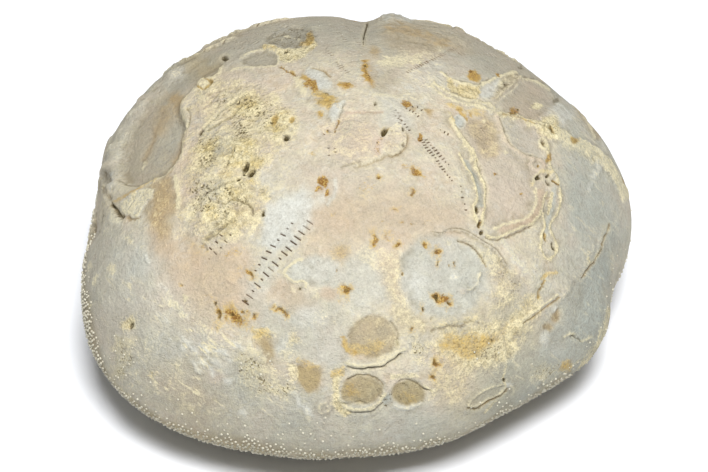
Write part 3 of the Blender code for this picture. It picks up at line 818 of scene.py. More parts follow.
def summitMarks():  # the crack, scars and plates round the summit
    made = [
        cut("367,16 365.5,24 363,33 362.2,46", (.27, .11), .7, dark=1, lumps=.2, fine=.14, loose=.2),
        Patch("264,42 270,33 281,28 296,26 310,30 316,38 310,46 296,48 278,46", -.25, .9, .2, 1.5, .36,
            cool=.15, taupe=1, specks=.4),
        hole((290, 41), 1.1, .1, 1.6, taupe=1, dark=.14, fine=None),
        Stroke("278,41 282,38 288,37 295,38 300,42 305,43", .15, .15, cream=.5, lumps=.9, fine=.22,
            loose=2),
        Stroke("272,35 280,31 290,29", .3, .15, white=.3),
        Patch("276,47 290,49 304,44 313,40 312,48 305,56 294,60 280,60 275,54", .1, .8, .25, 1.2, .3,
            crust=.9, cream=.7, loose=1.5),
        Dab((308.5, 39), .8, .2, 1.5, 80, .5, ochre=.9, dark=.5, fine=.24),
        Dab((303, 42.5), .4, .1, 2, ochre=.6, dark=.4, fine=.26),
        Dab((311, 46), .7, .1, 1.2, 60, crust=1, ochre=.3),
        Stroke("262,49 268,47 275,49", .5, .25, crust=.8, ochre=.4, lumps=.9),
        hole((285, 51), .32, .5, 1.3, 30, dark=.95), Dab((289, 54), .6, .05, white=.7),
        Patch("240,59 248,54 262,52 275,54 274,62 262,65 246,65", -.15, .7, taupe=.7, cool=.2),
        Stroke("238,58 246,53.5 256,51 262,50", .25, .25, cream=.6, fine=.26),
        Stroke("277,53 277,60 272,65 256,66 240,67 228,72", .25, .2, cream=.6, fine=.26),
        cut("277,65 283,67.5 290,72 296,75", .2, .35, rust=1, dark=.4, fine=.2, loose=.6),
        Dab((291, 72), .4, .1, 1.4, -30, ochre=.9, dark=.3, fine=.24),
        Patch("292,75 300,77 306,88 306,95 300,94 294,85", .1, .8, cream=.75, loose=1.5),
        Stroke("298,74 304,77 308,81", .5, .2, ochre=1, rust=.3, lumps=.9, fine=.26, loose=2),
        Stroke("305,82 309,85 314,86 316,92", .55, .2, rust=.95, ochre=.8, dark=.3, lumps=.9, fine=.24,
            loose=2),
        Dab((325, 101), 1.25, .25, 1.4, 10, .8, ochre=1, crust=.8, fine=.28, loose=2.5),
        Dab((321, 97), 1, .1, 1.8, -40, .9, ochre=.7, crust=.6, loose=2.5),
        Dab((325, 95), .45, .15, 1.2, ochre=.9, dark=.6, fine=.24),
        Dab((318, 115), .55, .05, 1.3, -30, ochre=.8, rust=.5, loose=2),
        Patch("306,70 315,68 325,74 331,84 328,89 319,88 310,78", .12, .9, white=.75, cool=.5),
        cut("311,67.5 318,69 325,72 330,77", .25, .3, tan=.9, dark=.25, fine=.24, loose=.6),
        Dab((344, 86), .65, .1, 1.7, -15, ochre=1, rust=.7, dark=.2, fine=.26, loose=2),
        Dab((349, 87.5), .35, .05, ochre=.8, loose=2),
        Patch("331,104 336,103 342,99 343.5,101 337,118 332,122 329,116", .25, .6, 0, 3, .3, white=.9,
            cool=.4),
        cut("343.5,102 340.5,110 338,118", .2, .25, dark=.35, taupe=.6, fine=.22, loose=.5),
        cut("337.5,120 335,127 333,133", .22, .2, rust=.8, blush=.5, fine=.24, loose=.5),
        cut("343.5,111.5 360,111.5 384,110.5", .28, .12, blush=1, rust=.25, loose=.6),
        Stroke("366,94 382,95 400,97 425,99", .3, .12, cream=.4),
        Stroke("364,58 365,66 366,74 368,81", .75, -.05, tan=.9, ochre=.6, rust=.6, specks=.5, fine=.26,
            loose=3),
        Dab((370, 82), .6, 0, 1.5, -60, rust=.5, tan=.9, loose=2),
        Dab((374, 50), .7, 0, 1.2, 70, tan=.7, rust=.25, loose=2),
        Stroke("359,52 358,62 357,74 360,82", .35, cream=.4, cool=.4, loose=2),
        Dab((391, 13), 1.7, .7, fine=.3), Dab((404, 17), 1, .3, fine=.35),
        Dab((378, 16), .9, .25, fine=.35), Dab((458, 30), 1, .4, fine=.4),
        tint("378,56 392,55 412,58 412,63 395,66 380,64", 1.2, cream=.7, loose=2),
        tint("368,66 392,68 396,82 380,92 368,88", 3, taupe=.45, loose=2),
        tint("420,66 442,62 444,78 436,92 422,92 414,80", 2, white=.3, specks=.12, crust=.2, loose=2),
        tint("380,100 402,102 412,118 400,128 384,122", 3, white=.4, cool=.2, loose=2),
        tint("378,34 392,24 420,26 450,38 470,50 455,54 425,56 395,50", 3, tan=.35, taupe=.4, loose=2),
        Stroke("395,50 420,55 445,52", 1.2, cream=.3, loose=2),
        Patch("376,20 392,10 420,16 450,30 475,44 440,50 400,42", 0, 2, .22, 1.6, .5),
        Stroke("384,28 404,31 428,38 450,48", .9, .1, tan=.75, ochre=.1, lumps=.9, loose=3),
        Stroke("388,38 412,42 438,50", .8, -.1, taupe=.8, lumps=.9, loose=3),
        Stroke("382,20 392,14 400,17 414,19", .7, .15, cool=.5, white=.4, lumps=.9, loose=3),
        Stroke("376,61 390,58 408,60 424,57", .7, .05, cream=.7, crust=.2, loose=3),
        # the round plate right of the summit, with the big hole painted dark as the shade inside it
        Dab((383.7, 131), .42, -1, 2, 60, .35, dark=1, fine=.16, loose=.4),
        Stroke("388,126 384,129 381,134", .45, ochre=.6),
        hole((402, 128), .3, .4, 1.4, 80, dark=.8, fine=.2),
        hole((403, 143.5), .25, .35, 1.4, 80, dark=.7, fine=.2),
        Dab((391, 131), .15, -.2, dark=.8, fine=.2), hole((374, 103), .27, .3, 1.2, dark=.8, fine=.2),
        Stroke("405,129 407,137 406,144 401,150 394,155 386,154 378,158 364,163 350,166", .5, -.4, "ledge",
            tan=.3, fine=.24, loose=.6),
        cut("406.5,132 406.5,141 403,148 396,154 388,155", .2, .3, dark=.5, tan=.6, fine=.2, loose=.6),
        Patch("381,140 388,126 399,123 406,131 405,143 399,150 390,154 383,151", .12, .9, cream=.3,
            crust=.25),
        Stroke("378,136 377,146 378,155", .55, blush=.9, rust=.35, specks=.5, loose=2),
        tint("322,128 350,118 372,122 374,150 352,160 330,156", 3, blush=.5, crust=.3, loose=2),
        ring("341,127 345,122 350,123 349,129 344,131", .22, .18, cream=.5, cool=.3, fine=.24),
        ring("343.5,127 346,125 347.5,127", .15, .12, cream=.5, fine=.22),
        cut("340,166 350,163 362,160", .3, .15, taupe=.6),
        # the brown stain below the summit
        Dab((323, 182), .85, -.15, 1.2, 60, rust=1, ochre=.6, dark=.3, fine=.24, loose=2),
        Dab((325.5, 192), .5, -.1, 1.6, 70, rust=.9, dark=.3, fine=.24, loose=2),
        Dab((317.5, 190), .4, 0, 1.4, 30, rust=.9, loose=2), Dab((314, 192), .25, rust=.7, loose=2),
        Dab((319, 200), .8, .12, 1.6, 60, white=.7),
        Stroke("335,178 333,194 325,206", .4, .15, white=.6, cool=.3),
        # stains by the right-hand shells
        Patch("468,74 472,69 477,72 480,79 472,81 465,79", .1, .9, 0, 3, .3, ochre=1, rust=.55, loose=2),
        Dab((469.5, 71.5), .4, dark=.6, rust=1, fine=.26),
        Dab((498, 74), .4, rust=.9, dark=.3, fine=.28, loose=2),
        Dab((406, 103.5), .6, -.1, 1.3, -20, rust=.9, ochre=.5, dark=.25, fine=.26, loose=2),
        Dab((428, 112), .5, 0, 1.4, tan=.9, rust=.3, loose=2), Dab((413, 107), .5, tan=.7, loose=2),
        Dab((419, 137), .6, -.1, 1.1, rust=1, dark=.3, fine=.24, loose=2),
    ]
    return made


def stainMarks():  # rust, ochre and other small blots
    blots = table("416,171,.4,.8,.2,2,-30 406,166,.45,.4,0,1.5,0 378.5,176.5,.3,.9,.3,1.2,20 "
        "367,184,.8,.3,0,1.5,-30 360,186,.5,.25,0,1.2,0 412,192,.4,.7,.2,1.3,0 394,209,.35,.6,0,1.4,0 "
        "412,224,.25,.6,.2,1.2,0 400,223,.3,.5,0,1.2,0 425,223,.25,.5,0,1,0 398,246.5,.35,.9,.2,1.2,80 "
        "426,245.5,.3,.8,.1,1.5,30 436,251,.4,1,.4,1.5,-10 438,261.5,.28,.6,.9,1.8,-60 "
        "455,264,.2,.7,.7,1.4,-60 449,266,.18,.6,.5,1,0 402.5,275,.22,.6,.8,1.8,80 "
        "436.5,298.5,.4,.9,.9,1.6,-50 443,299,.45,1,0,1.5,-40 447,304.5,.35,.9,.7,1.3,-30 "
        "441,296,.22,.8,.7,1,0 425,309.5,.3,.7,.9,1.7,-60 433,319,.25,.4,.5,1.3,40 "
        "375,240,.55,.7,.2,1.5,-70 388,236,.4,.45,0,1.2,0 382,222,.3,.5,0,1.4,0 344.8,289,.7,1,.45,1.2,20 "
        "337.5,270.5,.25,.6,.5,1,0 248.7,275,.55,.75,.35,1.5,-40 213.9,304.5,.32,.5,.9,2,80 "
        "216.6,315.5,.4,.8,.6,3,-75 233.7,319.5,.75,.9,.3,1.7,-30 229,316.5,.35,.6,.7,1.3,0 "
        "242.5,313,.32,.8,.4,1.2,60 244.6,302.5,.25,.5,.7,1.2,20 252,315.5,.33,.8,.5,1.2,60 "
        "270.5,306,.25,.7,.2,1.2,0 273,308.7,.25,.7,.4,1.2,0 277.3,308.4,.3,.8,.5,1.6,0 "
        "280.7,311.4,.32,.8,.4,1.3,-40 282.5,315,.28,.8,.4,1.6,70 435,364,.5,.8,.5,1.5,-80 "
        "435,380,.42,.8,.45,1.2,-80 413.5,331,.35,.6,.3,1.2,0 326,132,.22,.5,.2,1,0 311,153,.2,.4,0,1,0 "
        "332,214,.35,.35,0,1,0 285,250,.3,.4,0,1,0 232,253,.5,.4,0,2,30 203,246,.5,.35,.2,1.5,-40 "
        "181,286,.25,.5,.5,1,0 204,297,.22,.4,.6,1,0")
    made = []
    for x, y, size, rust, dark, stretch, turn in blots:
        made.append(blot((x, y), size * 2.2, stretch, turn, ochre=.7 * rust, crust=.3 * rust, fine=.35))
        made.append(Dab((x, y), size * 1.1, -.1, stretch, turn, .6, rust=rust, fine=.22, loose=3))
        if dark:
            core = (x + size * math.cos(7 * x), y + size * math.sin(7 * x))
            deep = -.15 - .3 * dark
            made.append(Dab(core, size * .75, deep, stretch, turn, dark=dark, fine=.19, loose=2))
    made += [
        Dab((339.5, 253.5), 1.5, .05, 1.1, 0, .5, tan=.75, ochre=.3, crust=.3),
        Dab((327, 293.7), 1.2, 0, 1.2, blush=.9, tan=.3), Dab((315.5, 296.5), .6, .05, 1.4, 70, cream=.7),
        Dab((306, 314), 1.5, .05, 1.5, 30, .9, white=.8, loose=3), blot((322, 318), 1.6, 1.3, cream=.3),
        Dab((260, 332), .8, .1, 1.8, -10, .9, ochre=.5, crust=.8, fine=.35, loose=3),
        blot((263, 346), 1.1, 2.2, -75, tan=.9, moss=.4, loose=2),
        Dab((280, 343), 1, .05, 1.6, 60, .8, white=.8, loose=3),
        Stroke("247,346 254,351 264,359", .7, .08, cream=.8, white=.6, loose=3),
        blot((290, 335), 1.3, 1.3, 60, crust=.5, cool=.3), blot((284, 352), 1.2, 1.2, cream=.5),
        tint("441,337 462,333 484,334 494,338 487,350 468,362 446,352", 2, ochre=.62, crust=.6, specks=.3),
        tint("470,341 485,341 484,358 470,362", 1.6, ochre=.3, crust=.6, specks=.4),
        tint("440,330 500,318 520,305 528,290 540,300 525,335 500,368 455,375 438,355", 4, crust=.55),
        tint("492,258 510,268 524,280 518,302 500,316 488,306 492,282", 2.5, crust=.35, taupe=.3,
            specks=.3),
        tint("440,355 470,372 462,400 440,402 428,384", 3, crust=.35, blush=.3),
        tint("409,340 430,333 436,352 428,372 410,366", 2, white=.35, crust=.35),
        tint("332,374 343,372 340,400 352,416 338,416 330,396", 1.5, crust=.7, cream=.4, loose=2),
        tint("310,330 335,340 338,366 322,370 306,355", 4, cool=.3, white=.25),
        tint("274,280 300,292 320,305 300,318 276,300", 3, tan=.3, blush=.5),
        tint("268,205 300,192 315,205 300,232 268,252 262,228", 3, white=1, cool=.2),
        tint("258,262 275,255 268,285 246,300 240,290", 3, white=.3, cool=.3),
        tint("180,250 235,245 250,300 225,318 185,315 165,285", 6, tan=.35, blush=.5),
        tint("190,235 205,250 200,270 188,262", 3, tan=.5, ochre=.15),
        tint("100,280 150,290 185,320 250,340 300,390 320,430 250,425 170,400 120,350", 4, streaks=.5),
        tint("160,300 186,318 240,345 250,372 215,380 190,366 168,332", 3, streaks=.6),
        tint("500,300 560,260 600,290 590,345 545,390 505,400 480,360", 4, streaks=.22, cool=.3),
        tint("510,240 560,250 570,200 600,215 590,270 530,300", 3, streaks=.25),
        tint("320,205 420,190 470,230 420,240 340,250 300,240", 8, tan=.28, blush=.5, cool=.1),
        tint("290,170 330,160 380,170 350,195 300,190", 5, blush=.35, cool=.15),
        tint("345,255 375,250 385,300 365,310 345,300", 3, cool=.4, white=.3),
        tint("355,245 400,252 398,262 380,268 362,262", 2, cream=.5),
        # a pit, its dark coat painted shade inside it
        Dab((130, 326.5), .35, -.5, 1.8, 60, .5, dark=.8, fine=.26),
        Dab((128, 323), 1, .1, 1.4, 30, .9, crust=.8, cream=.4, loose=2),
        blot((150, 374), .9, crust=.4, ochre=.25, loose=2), Dab((163, 371), .6, ochre=.3, loose=2),
        Dab((213, 377), 1, 0, 1.4, 0, .8, blush=.9, rust=.15, loose=2),
        Stroke("143.7,253.7 146,260 149,264.6", .28, .12, white=1),
        Stroke("163,292 170,301 177,310 183,318", .75, .1, white=.7, cream=.6, lumps=.9, loose=3),
        Stroke("182,293 183,302", .35, .08, cream=.9, loose=2),
        Stroke("160,315 166,322", .4, .05, white=.7, loose=3),
        Stroke("126,283 130,279 127,287", .4, .05, white=.6, loose=3),
        Stroke("160,285 166,295", .4, white=.5, loose=3),
        blot((133, 262), 3.2, 1.3, 60, cool=.6, white=.35),
        blot((128, 296), 2.6, 1.3, 60, cool=.5, white=.2),
    ]
    streaks = table("202,352,213,363 206,359,220,367 197,362,205,367 224,359,232,364 208,368,211,377 "
        "221,381,231,383 176,341,184,352 186,344,196,357 180,337,190,343 198,346,210,352 160,332,168,341 "
        "214,349,226,355 233,344,243,355 188,362,200,374 290,392,300,408 304,408,312,418 236,411,246,415")
    for x, y, xEnd, yEnd in streaks:
        path = [(x, y), ((x + xEnd) / 2 + 1, (y + yEnd) / 2), (xEnd, yEnd)]
        made.append(Stroke(path, .36, .12, white=1, cream=.2, lumps=.9, loose=2, fine=.4))
    for x, y, size, amount in table("252,373,2.6,.75 266,384,2,.6 240,362,1.5,.5 120,345,1.5,.6 "
            "124,360,1.3,.5 118,372,1.2,.6 490,350,2,.3 545,375,2.2,.35 420,350,1.4,.3 280,390,1.5,.3"):
        made.append(blot((x, y), size, 1.3, 20, beads=amount * .45, cream=.6, specks=.45))
    return made


def broadTints():  # how the stone's colour drifts from place to place, partly painted shade: darker along the top edge, down the right side and along the lower edge
    return [
        # partly painted shade along the top edge, partly the stone's own taupe
        tint("380,14 480,32 560,88 548,100 505,66 470,60 420,50 330,48 240,58 150,88 230,34 300,16", 10,
            taupe=.75, loose=2),
        # partly painted shade down the right side, partly the stone's own cool grey
        tint("556,92 600,140 626,190 629,250 600,330 565,385 500,415 520,350 548,300 565,240 566,190", 10,
            cool=.68, streaks=.2, loose=2),
        tint("500,350 560,330 600,300 600,350 560,400 500,425 470,420 480,380", 8, cool=.8, taupe=.3,
            loose=2),
        # painted shade along the lower edge
        tint("84,240 120,225 150,262 165,320 190,360 260,375 330,385 430,415 470,400 500,425 430,452 "
            "330,462 220,435 120,390 80,310", 8, cool=.4, taupe=.12, loose=2),
        blot((200, 66), 2.2, 1.6, -20, moss=.5, taupe=.4, loose=2),
        blot((193, 168), 2.2, 1.8, 80, crust=.35, tan=.2), blot((200, 310), 3.2, 1.4, 20, tan=.3, crust=.2),
        blot((345, 215), 4.5, 1.6, tan=.35), blot((195, 348), 4, 1.8, -30, cool=.45, white=.2),
        blot((240, 382), 3.2, 1.3, cool=.65, taupe=.2), blot((188, 395), 4, 1.6, -30, taupe=.4, tan=.25),
        blot((115, 322), 3.5, 1.5, 50, blush=.4, taupe=.2),
        blot((170, 300), 3.5, 1.8, -50, white=.25, cool=.2), blot((215, 340), 3, 1.8, -40, cream=.3),
        blot((300, 428), 5, 2.2, -5, cool=.5, taupe=.2), blot((410, 428), 4.5, 2, 5, cool=.6),
        tint("425,320 520,300 545,330 530,385 490,420 440,410 420,360", 4, moss=.25),
        tint("400,300 425,312 436,330 420,345 400,330", 2, moss=.2),
        blot((135, 385), 3, 1.5, -40, crust=.2, taupe=.2),
        tint("376,20 470,40 520,75 500,100 440,70 380,48 300,50 240,62 220,50 300,22", 5, cool=.35,
            loose=2),
        tint("430,240 470,242 492,270 480,300 440,306 415,285 415,258", 2, cool=.3, loose=2),
        tint("82,250 110,235 112,290 100,330 118,380 96,350 80,300", 6, taupe=.3, loose=2),
        tint("130,340 175,352 190,385 220,410 200,425 140,395", 5, taupe=.25, crust=.15, loose=2),
        tint("282,296 345,300 345,360 300,360 262,330 250,300", 5, cool=.45),
        tint("104,175 104,240 90,240 98,195", 3, taupe=.45, loose=2),
        tint("190,62 260,75 262,100 200,84", 4, blush=.4, loose=2),
        tint("455,45 475,42 510,68 500,76 475,68", 3, taupe=.6, loose=2),
        tint("575,280 615,240 605,320 590,350 565,345", 5, taupe=.9, cool=.9, loose=2),
        tint("480,28 560,82 600,130 590,132 545,88 478,44", 4, taupe=.4, cool=.2, loose=2),
    ]


def hiddenSides():  # what the camera doesn't see: the front notch, the far petals, the mouth and the vent
    spread = table("170,90,4,-.5 230,105,9,.8 306,106,6,-1 330,100,5.5,1 345,99,4.5,-.6 18,66,6,.5 "
        "60,44,4,.5")
    made = [Dab(turned(bearing, fall), 1.25 * size, high, edge=.85, loose=0)
            for bearing, fall, size, high in spread]
    made += [
        Stroke(far("90,20 89,40 89,60 90,80 90,100 90,122"), (2.2, 5.6), (-.4, -2.6), lumps=.1, loose=.4),
        Stroke(far("186,86 192,80 194,74"), (2.6, 2.2), (-1.2, -.8), lumps=.1),
        Stroke(far("168,73 178,74 188,72"), 1.8, .5), Stroke(far("160,79 168,80 176,79"), 2.3, .4),
        Stroke(far("104,148 150,162 222,150 236,138"), (2.2, 2.6), (-.8, -.6), taupe=.3, lumps=.1),
        Stroke(far("76,148 30,162 318,150 304,138"), (2.2, 2.6), (-.8, -.6), taupe=.3, lumps=.1),
        Patch(far("74,142 90,139 106,142 108,149 90,153 72,149"), -3.4, 3, .3, 2, .5, taupe=.9, dark=.3),
        Patch(far("262,113 270,110 278,113 277,121 270,124 263,121"), -2.6, 2.6, .3, 2, .5, taupe=.9,
            dark=.3),
        Patch(far("60,60 74,56 78,74 62,80"), .2, 3, .2, 2, .5, crust=.6, loose=3),
        tint(far("20,76 40,70 52,84 30,92"), 4, ochre=.4),
        tint(far("100,70 125,66 135,84 108,90"), 4, blush=.4, tan=.3),
        Patch(far("46,60 64,57 66,70 52,75"), -.3, .9, .15, 1.6, .5, tan=.6),
        ring(far("46,61 54,56 64,57 68,66 62,74 52,75"), .6, .4, cream=.7, lumps=.6),
        Stroke(far("110,48 122,52 130,60 128,70"), .7, .5, cream=.7, lumps=.6),
        Stroke(far("128,48 140,56 142,68 134,78"), .7, .4, cream=.6, lumps=.6),
    ]
    for k in range(46):  # small rust spots and pale flecks all round the far side
        bearing = 10 + 160 * (k * .618 % 1)
        horizon = math.degrees(math.atan(.84 / math.sin(math.radians(bearing)))) + 6
        fall = horizon + (102 - horizon) * (k * .414 % 1)
        made.append(Dab(turned(bearing, fall), .35 + .5 * (k * .73 % 1), -.05, 1.3, 50 * k, loose=3,
                        rust=.9 * (k % 3 > 0), white=.6 * (k % 3 == 0)))
    return made


class Flow:  # a node socket that takes Python's arithmetic, and makes any other node it is asked for
    def __init__(self, tree, socket=None):
        self.tree, self.socket = tree, socket

    def make(self, kind, settings=None, sockets=None, output=0):
        node = self.tree.nodes.new(kind)
        for name, value in (settings or {}).items():
            setattr(node, name, value)
        for key, value in (sockets or {}).items():
            if isinstance(value, Flow):
                self.tree.links.new(value.socket, node.inputs[key])
            else:
                node.inputs[key].default_value = value
        return Flow(self.tree, node.outputs[output] if len(node.outputs) else None)

    def other(self, output):  # another socket of the same node
        return Flow(self.tree, self.socket.node.outputs[output])

    def maths(self, operation, *values, clamp=False):
        settings = {"operation": operation, "use_clamp": clamp}
        return self.make("ShaderNodeMath", settings, dict(enumerate(values)))

    def vector(self, operation, sockets, output=0):
        return self.make("ShaderNodeVectorMath", {"operation": operation}, sockets, output)

    def attribute(self, name, kind="FLOAT"):  # of the geometry that a tree works on
        return self.make("GeometryNodeInputNamedAttribute", {"data_type": kind}, {"Name": name})

    def __add__(self, other):
        return self.maths("ADD", self, other)

    __radd__ = __add__

    def __mul__(self, other):
        return self.maths("MULTIPLY", self, other)

    __rmul__ = __mul__

    def __sub__(self, other):
        return self.maths("SUBTRACT", self, other)

    def __rsub__(self, other):
        return self.maths("SUBTRACT", other, self)

    def held(self):  # kept between 0 and 1
        return self.maths("ADD", self, 0, clamp=True)


def newTree(name, **inputs):  # a geometry tree, and its inputs by name
    tree = bpy.data.node_groups.new(name, "GeometryNodeTree")
    for label, kind in {"Geometry": "Geometry", **inputs}.items():
        tree.interface.new_socket(label, in_out="INPUT", socket_type=f"NodeSocket{kind}")
    tree.interface.new_socket("Geometry", in_out="OUTPUT", socket_type="NodeSocketGeometry")
    given = tree.nodes.new("NodeGroupInput")
    return Flow(tree), {socket.name: Flow(tree, socket) for socket in given.outputs if socket.name}


def endTree(flow, shape, finish):
    shape = flow.make("GeometryNodeRealizeInstances", None, {"Geometry": shape})
    shape = flow.make("GeometryNodeSetMaterial", None, {"Geometry": shape, "Material": finish})
    flow.make("NodeGroupOutput", None, {"Geometry": shape})
    return flow.tree


poreRows = {"gap": 1.12, "dots": .35, "halfWide": .08, "deep": .26, "seed": 5}


def poreTree():
    flow, take = newTree("poreRows", Seat="Object", Gap="Float", Dots="Float", Seed="Int",
                         Finish="Material")
    rows = flow.make("GeometryNodeMeshToCurve", None, {"Mesh": take["Geometry"]})
    step = take["Gap"] * flow.attribute("apart")
    rows = flow.make("GeometryNodeResampleCurve", {"mode": "LENGTH"}, {"Curve": rows, "Length": step})
    seat = flow.make("GeometryNodeObjectInfo", None, {"Object": take["Seat"]}, "Geometry")
    facing = flow.make("GeometryNodeSampleNearestSurface", {"data_type": "FLOAT_VECTOR"},
                       {"Mesh": seat, "Value": flow.make("GeometryNodeInputNormal")})
    ahead = flow.make("GeometryNodeInputTangent")
    across = flow.vector("CROSS_PRODUCT", {0: facing, 1: ahead})
    across = flow.make("ShaderNodeVectorRotate", {"rotation_type": "AXIS_ANGLE"},
                       {"Vector": across, "Axis": facing, "Angle": flow.attribute("slant")})
    turn = flow.make("FunctionNodeAlignRotationToVector", {"axis": "X"}, {"Vector": across})
    chance = flow.make("FunctionNodeRandomValue", {"data_type": "FLOAT"}, {"Seed": take["Seed"]}, 1)
    full = flow.maths("GREATER_THAN", chance, take["Dots"])
    length = flow.attribute("long") * (.22 + .62 * full + .3 * chance)
    stretch = flow.make("ShaderNodeCombineXYZ", None, {0: length, 1: 1.0, 2: 1.0})
    slit = flow.make("GeometryNodeMeshLine", {"mode": "END_POINTS"},
                     {"Count": 2, "Start Location": (-.5, 0, 0), "Offset": (.5, 0, 0)})
    slits = flow.make("GeometryNodeInstanceOnPoints", None,
                      {"Points": rows, "Instance": slit, "Rotation": turn, "Scale": stretch})
    jitter = flow.make("FunctionNodeRandomValue", {"data_type": "FLOAT_VECTOR"},
                       {0: (-.07, -.07, -.07), 1: (.07, .07, .07), "Seed": take["Seed"]})
    slits = flow.make("GeometryNodeTranslateInstances", None,
                      {"Instances": slits, "Translation": jitter, "Local Space": False})
    return endTree(flow, slits, take["Finish"])


def setInputs(modifier, values):
    for socket in modifier.node_group.interface.items_tree:
        if socket.item_type == "SOCKET" and socket.in_out == "INPUT" and socket.name in values:
            modifier[socket.identifier] = values[socket.name]


def showing(name, data):
    thing = bpy.data.objects.new(name, data)
    bpy.context.scene.collection.objects.link(thing)
    return thing


def grown(mesh, tree, helpers, **values):  # the plain mesh that a tree makes of a mesh and helpers
    owner = showing("grown", mesh)
    helpers = {name: showing(name, helper) for name, helper in helpers.items()}
    modifier = owner.modifiers.new("grow", "NODES")
    modifier.node_group = tree
    setInputs(modifier, values | helpers)
    owner.update_tag()
    bpy.context.view_layer.update()
    result = bpy.data.meshes.new_from_object(owner.evaluated_get(bpy.context.evaluated_depsgraph_get()))
    owner.modifiers.remove(modifier)
    for thing in (owner, *helpers.values()):
        bpy.data.objects.remove(thing)
    return result


def rowPaths():  # each row: its path, the length of its slits, how they slant and how far apart they are
    rows = [
        ("309,222 292,243 275,263 258,283 244,303", 1.15, 0),
        ("291,223 275,242 262,259 254,271", .85, 10),
        ("220,236 215,243 209,249", .45, 0),
        ("229,235 222,245 214,253 208,259", .6, 0),
        ("395,109 400,116 399,122", .25, 0, .6),
        ("406,108 412,111 418,115", .4, 0, .5),
        ("412,106 417,106 421,109", .4, 0, .55),
        ("425.5,139 434,149 441,157 448,164", .5, 0, .55),
        ("421,139 427.5,149 434.5,157 441.5,168 451,180", .55, 0, .52),
        ("440,129 443.5,131 448,133.5", .45, 0, .62),
        ("395,115 402,121 409,129", .3, 0, .6),
        ("460,186 462,196 464,202 466,209", .35, 0, .9),
        ("329,24 334,28 339,34 345,41", .6, 0, .8),
        ("342,23 348,28 353,35 359,43", .7, 0, .8),
        ("325,49 331,55", .5, 0, .7),
        ("336,62 341,67 346,72", .8, 0, .5),
        ("407,71 419,64 431,59 445,54", .4, 0, .6),
        ("418,65 434,57 450,50 470,43", .5, 0, .6),
        ("323,134 327,130", .2, 0),
        ("328,148 328,155", .5, 0),
        ("334,148 334,152", .3, 0),
    ]
    farRows = table("116,36,122,60 110,36,115,60 132,36,133,60 137,36,138,58 61,36,56,60 66,36,62,60 "
        "46,36,44,60 84,34,84,60 95,34,95,60")
    for k, (bearing, fall, lastBearing, lastFall) in enumerate(farRows):
        steps = [t / 3 for t in range(4)]
        path = [turned(bearing + (lastBearing - bearing) * t, fall + (lastFall - fall) * t) for t in steps]
        rows.append((path, .95 if k % 2 == 0 else .5, 0))
    return rows


def poreSlits(finish):
    mesh = bpy.data.meshes.new("poreRows")
    points, edges, settings = [], [], []
    for path, length, turn, *ratio in rowPaths():
        curve = solidPath(path)
        edges += [(len(points) + k, len(points) + k + 1) for k in range(len(curve) - 1)]
        points += [tuple(point) for point in curve]
        settings += [(length, math.radians(turn), *(ratio or [1]))] * len(curve)
    mesh.from_pydata(points, edges, [])
    for name, values in zip(("long", "slant", "apart"), zip(*settings)):
        mesh.attributes.new(name, "FLOAT", "POINT").data.foreach_set("value", values)
    return grown(mesh, poreTree(), {"Seat": seatMesh}, Gap=poreRows["gap"], Dots=poreRows["dots"],
                 Seed=poreRows["seed"], Finish=finish)


def slitEnds(slits):
    ends = np.array([vert.co for vert in slits.vertices])
    pairs = np.array([edge.vertices[:] for edge in slits.edges])
    return ends[pairs[:, 0]], ends[pairs[:, 1]]


def wantedEdges(ground, features, slitTree, long):  # how long a mesh edge may show at each point
    wanted = np.where(ground.inView, detail["seen"], detail["far"])
    for feature in features:
        if feature.fine:
            found, share, _ = feature.cover(ground)
            found = found[share > .06]
            wanted[found] = np.minimum(wanted[found], feature.fine * detail["fineShare"])
    near = np.array([slitTree.find(spot)[2] for spot in ground.spots])
    slitEdge = np.where(ground.inView, detail["slits"], 2.2 * detail["slits"])
    return np.where(near < detail["slitMargin"] + long / 2, slitEdge, wanted)


def fineBall(features, slits):  # the ball, with shorter edges where there is more to show
    starts, ends = slitEnds(slits)
    dots = [start + (end - start) * t for start, end in zip(starts, ends) for t in (0, .25, .5, .75, 1)]
    slitTree = KDTree(len(dots))
    for k, dot in enumerate(dots):
        slitTree.insert(dot, k)
    slitTree.balance()
    bm = plainBall(detail["startLevel"])
    for _ in range(detail["rounds"]):
        ways = directionsOf(bm)
        spots = bodyPoints(ways)
        bm.verts.index_update()
        first, second = np.array([(edge.verts[0].index, edge.verts[1].index) for edge in bm.edges]).T
        ground = Ground(unit(ways[first] + ways[second]), swaying=False)
        long = np.linalg.norm(spots[first] - spots[second], axis=1)
        apart = np.linalg.norm(shown(spots[first]) - shown(spots[second]), axis=1)
        apart = np.where(ground.inView, np.maximum(apart, detail["slant"] * long), long)
        wanted = wantedEdges(ground, features, slitTree, long)
        around = np.full(len(ways), np.inf)  # the shortest wanted beside each corner
        for corner in (first, second):
            np.minimum.at(around, corner, wanted)
        steep = apart > detail["graded"] * np.minimum(around[first], around[second])
        tooLong = (apart > 1.3 * wanted) | steep
        edges = [edge for edge, cut in zip(bm.edges, tooLong) if cut]
        bmesh.ops.subdivide_edges(bm, edges=edges, cuts=1, use_grid_fill=True)
        bmesh.ops.triangulate(bm, faces=[face for face in bm.faces if len(face.verts) > 3])
        placeVerts(bm, directionsOf(bm))
    return bm


def shapeSkin(bm, features):
    ground = Ground(directionsOf(bm))
    spots = ground.spots
    skin = Skin(ground)
    rest = smoothstep(spots[:, 2] / 1.2)  # 0 where the stone lies flat
    skin.lift += rest * sum(rise * grain(spots, *wave) for rise, *wave in body["waves"])
    for feature in features:
        feature.apply(skin)
    return skin


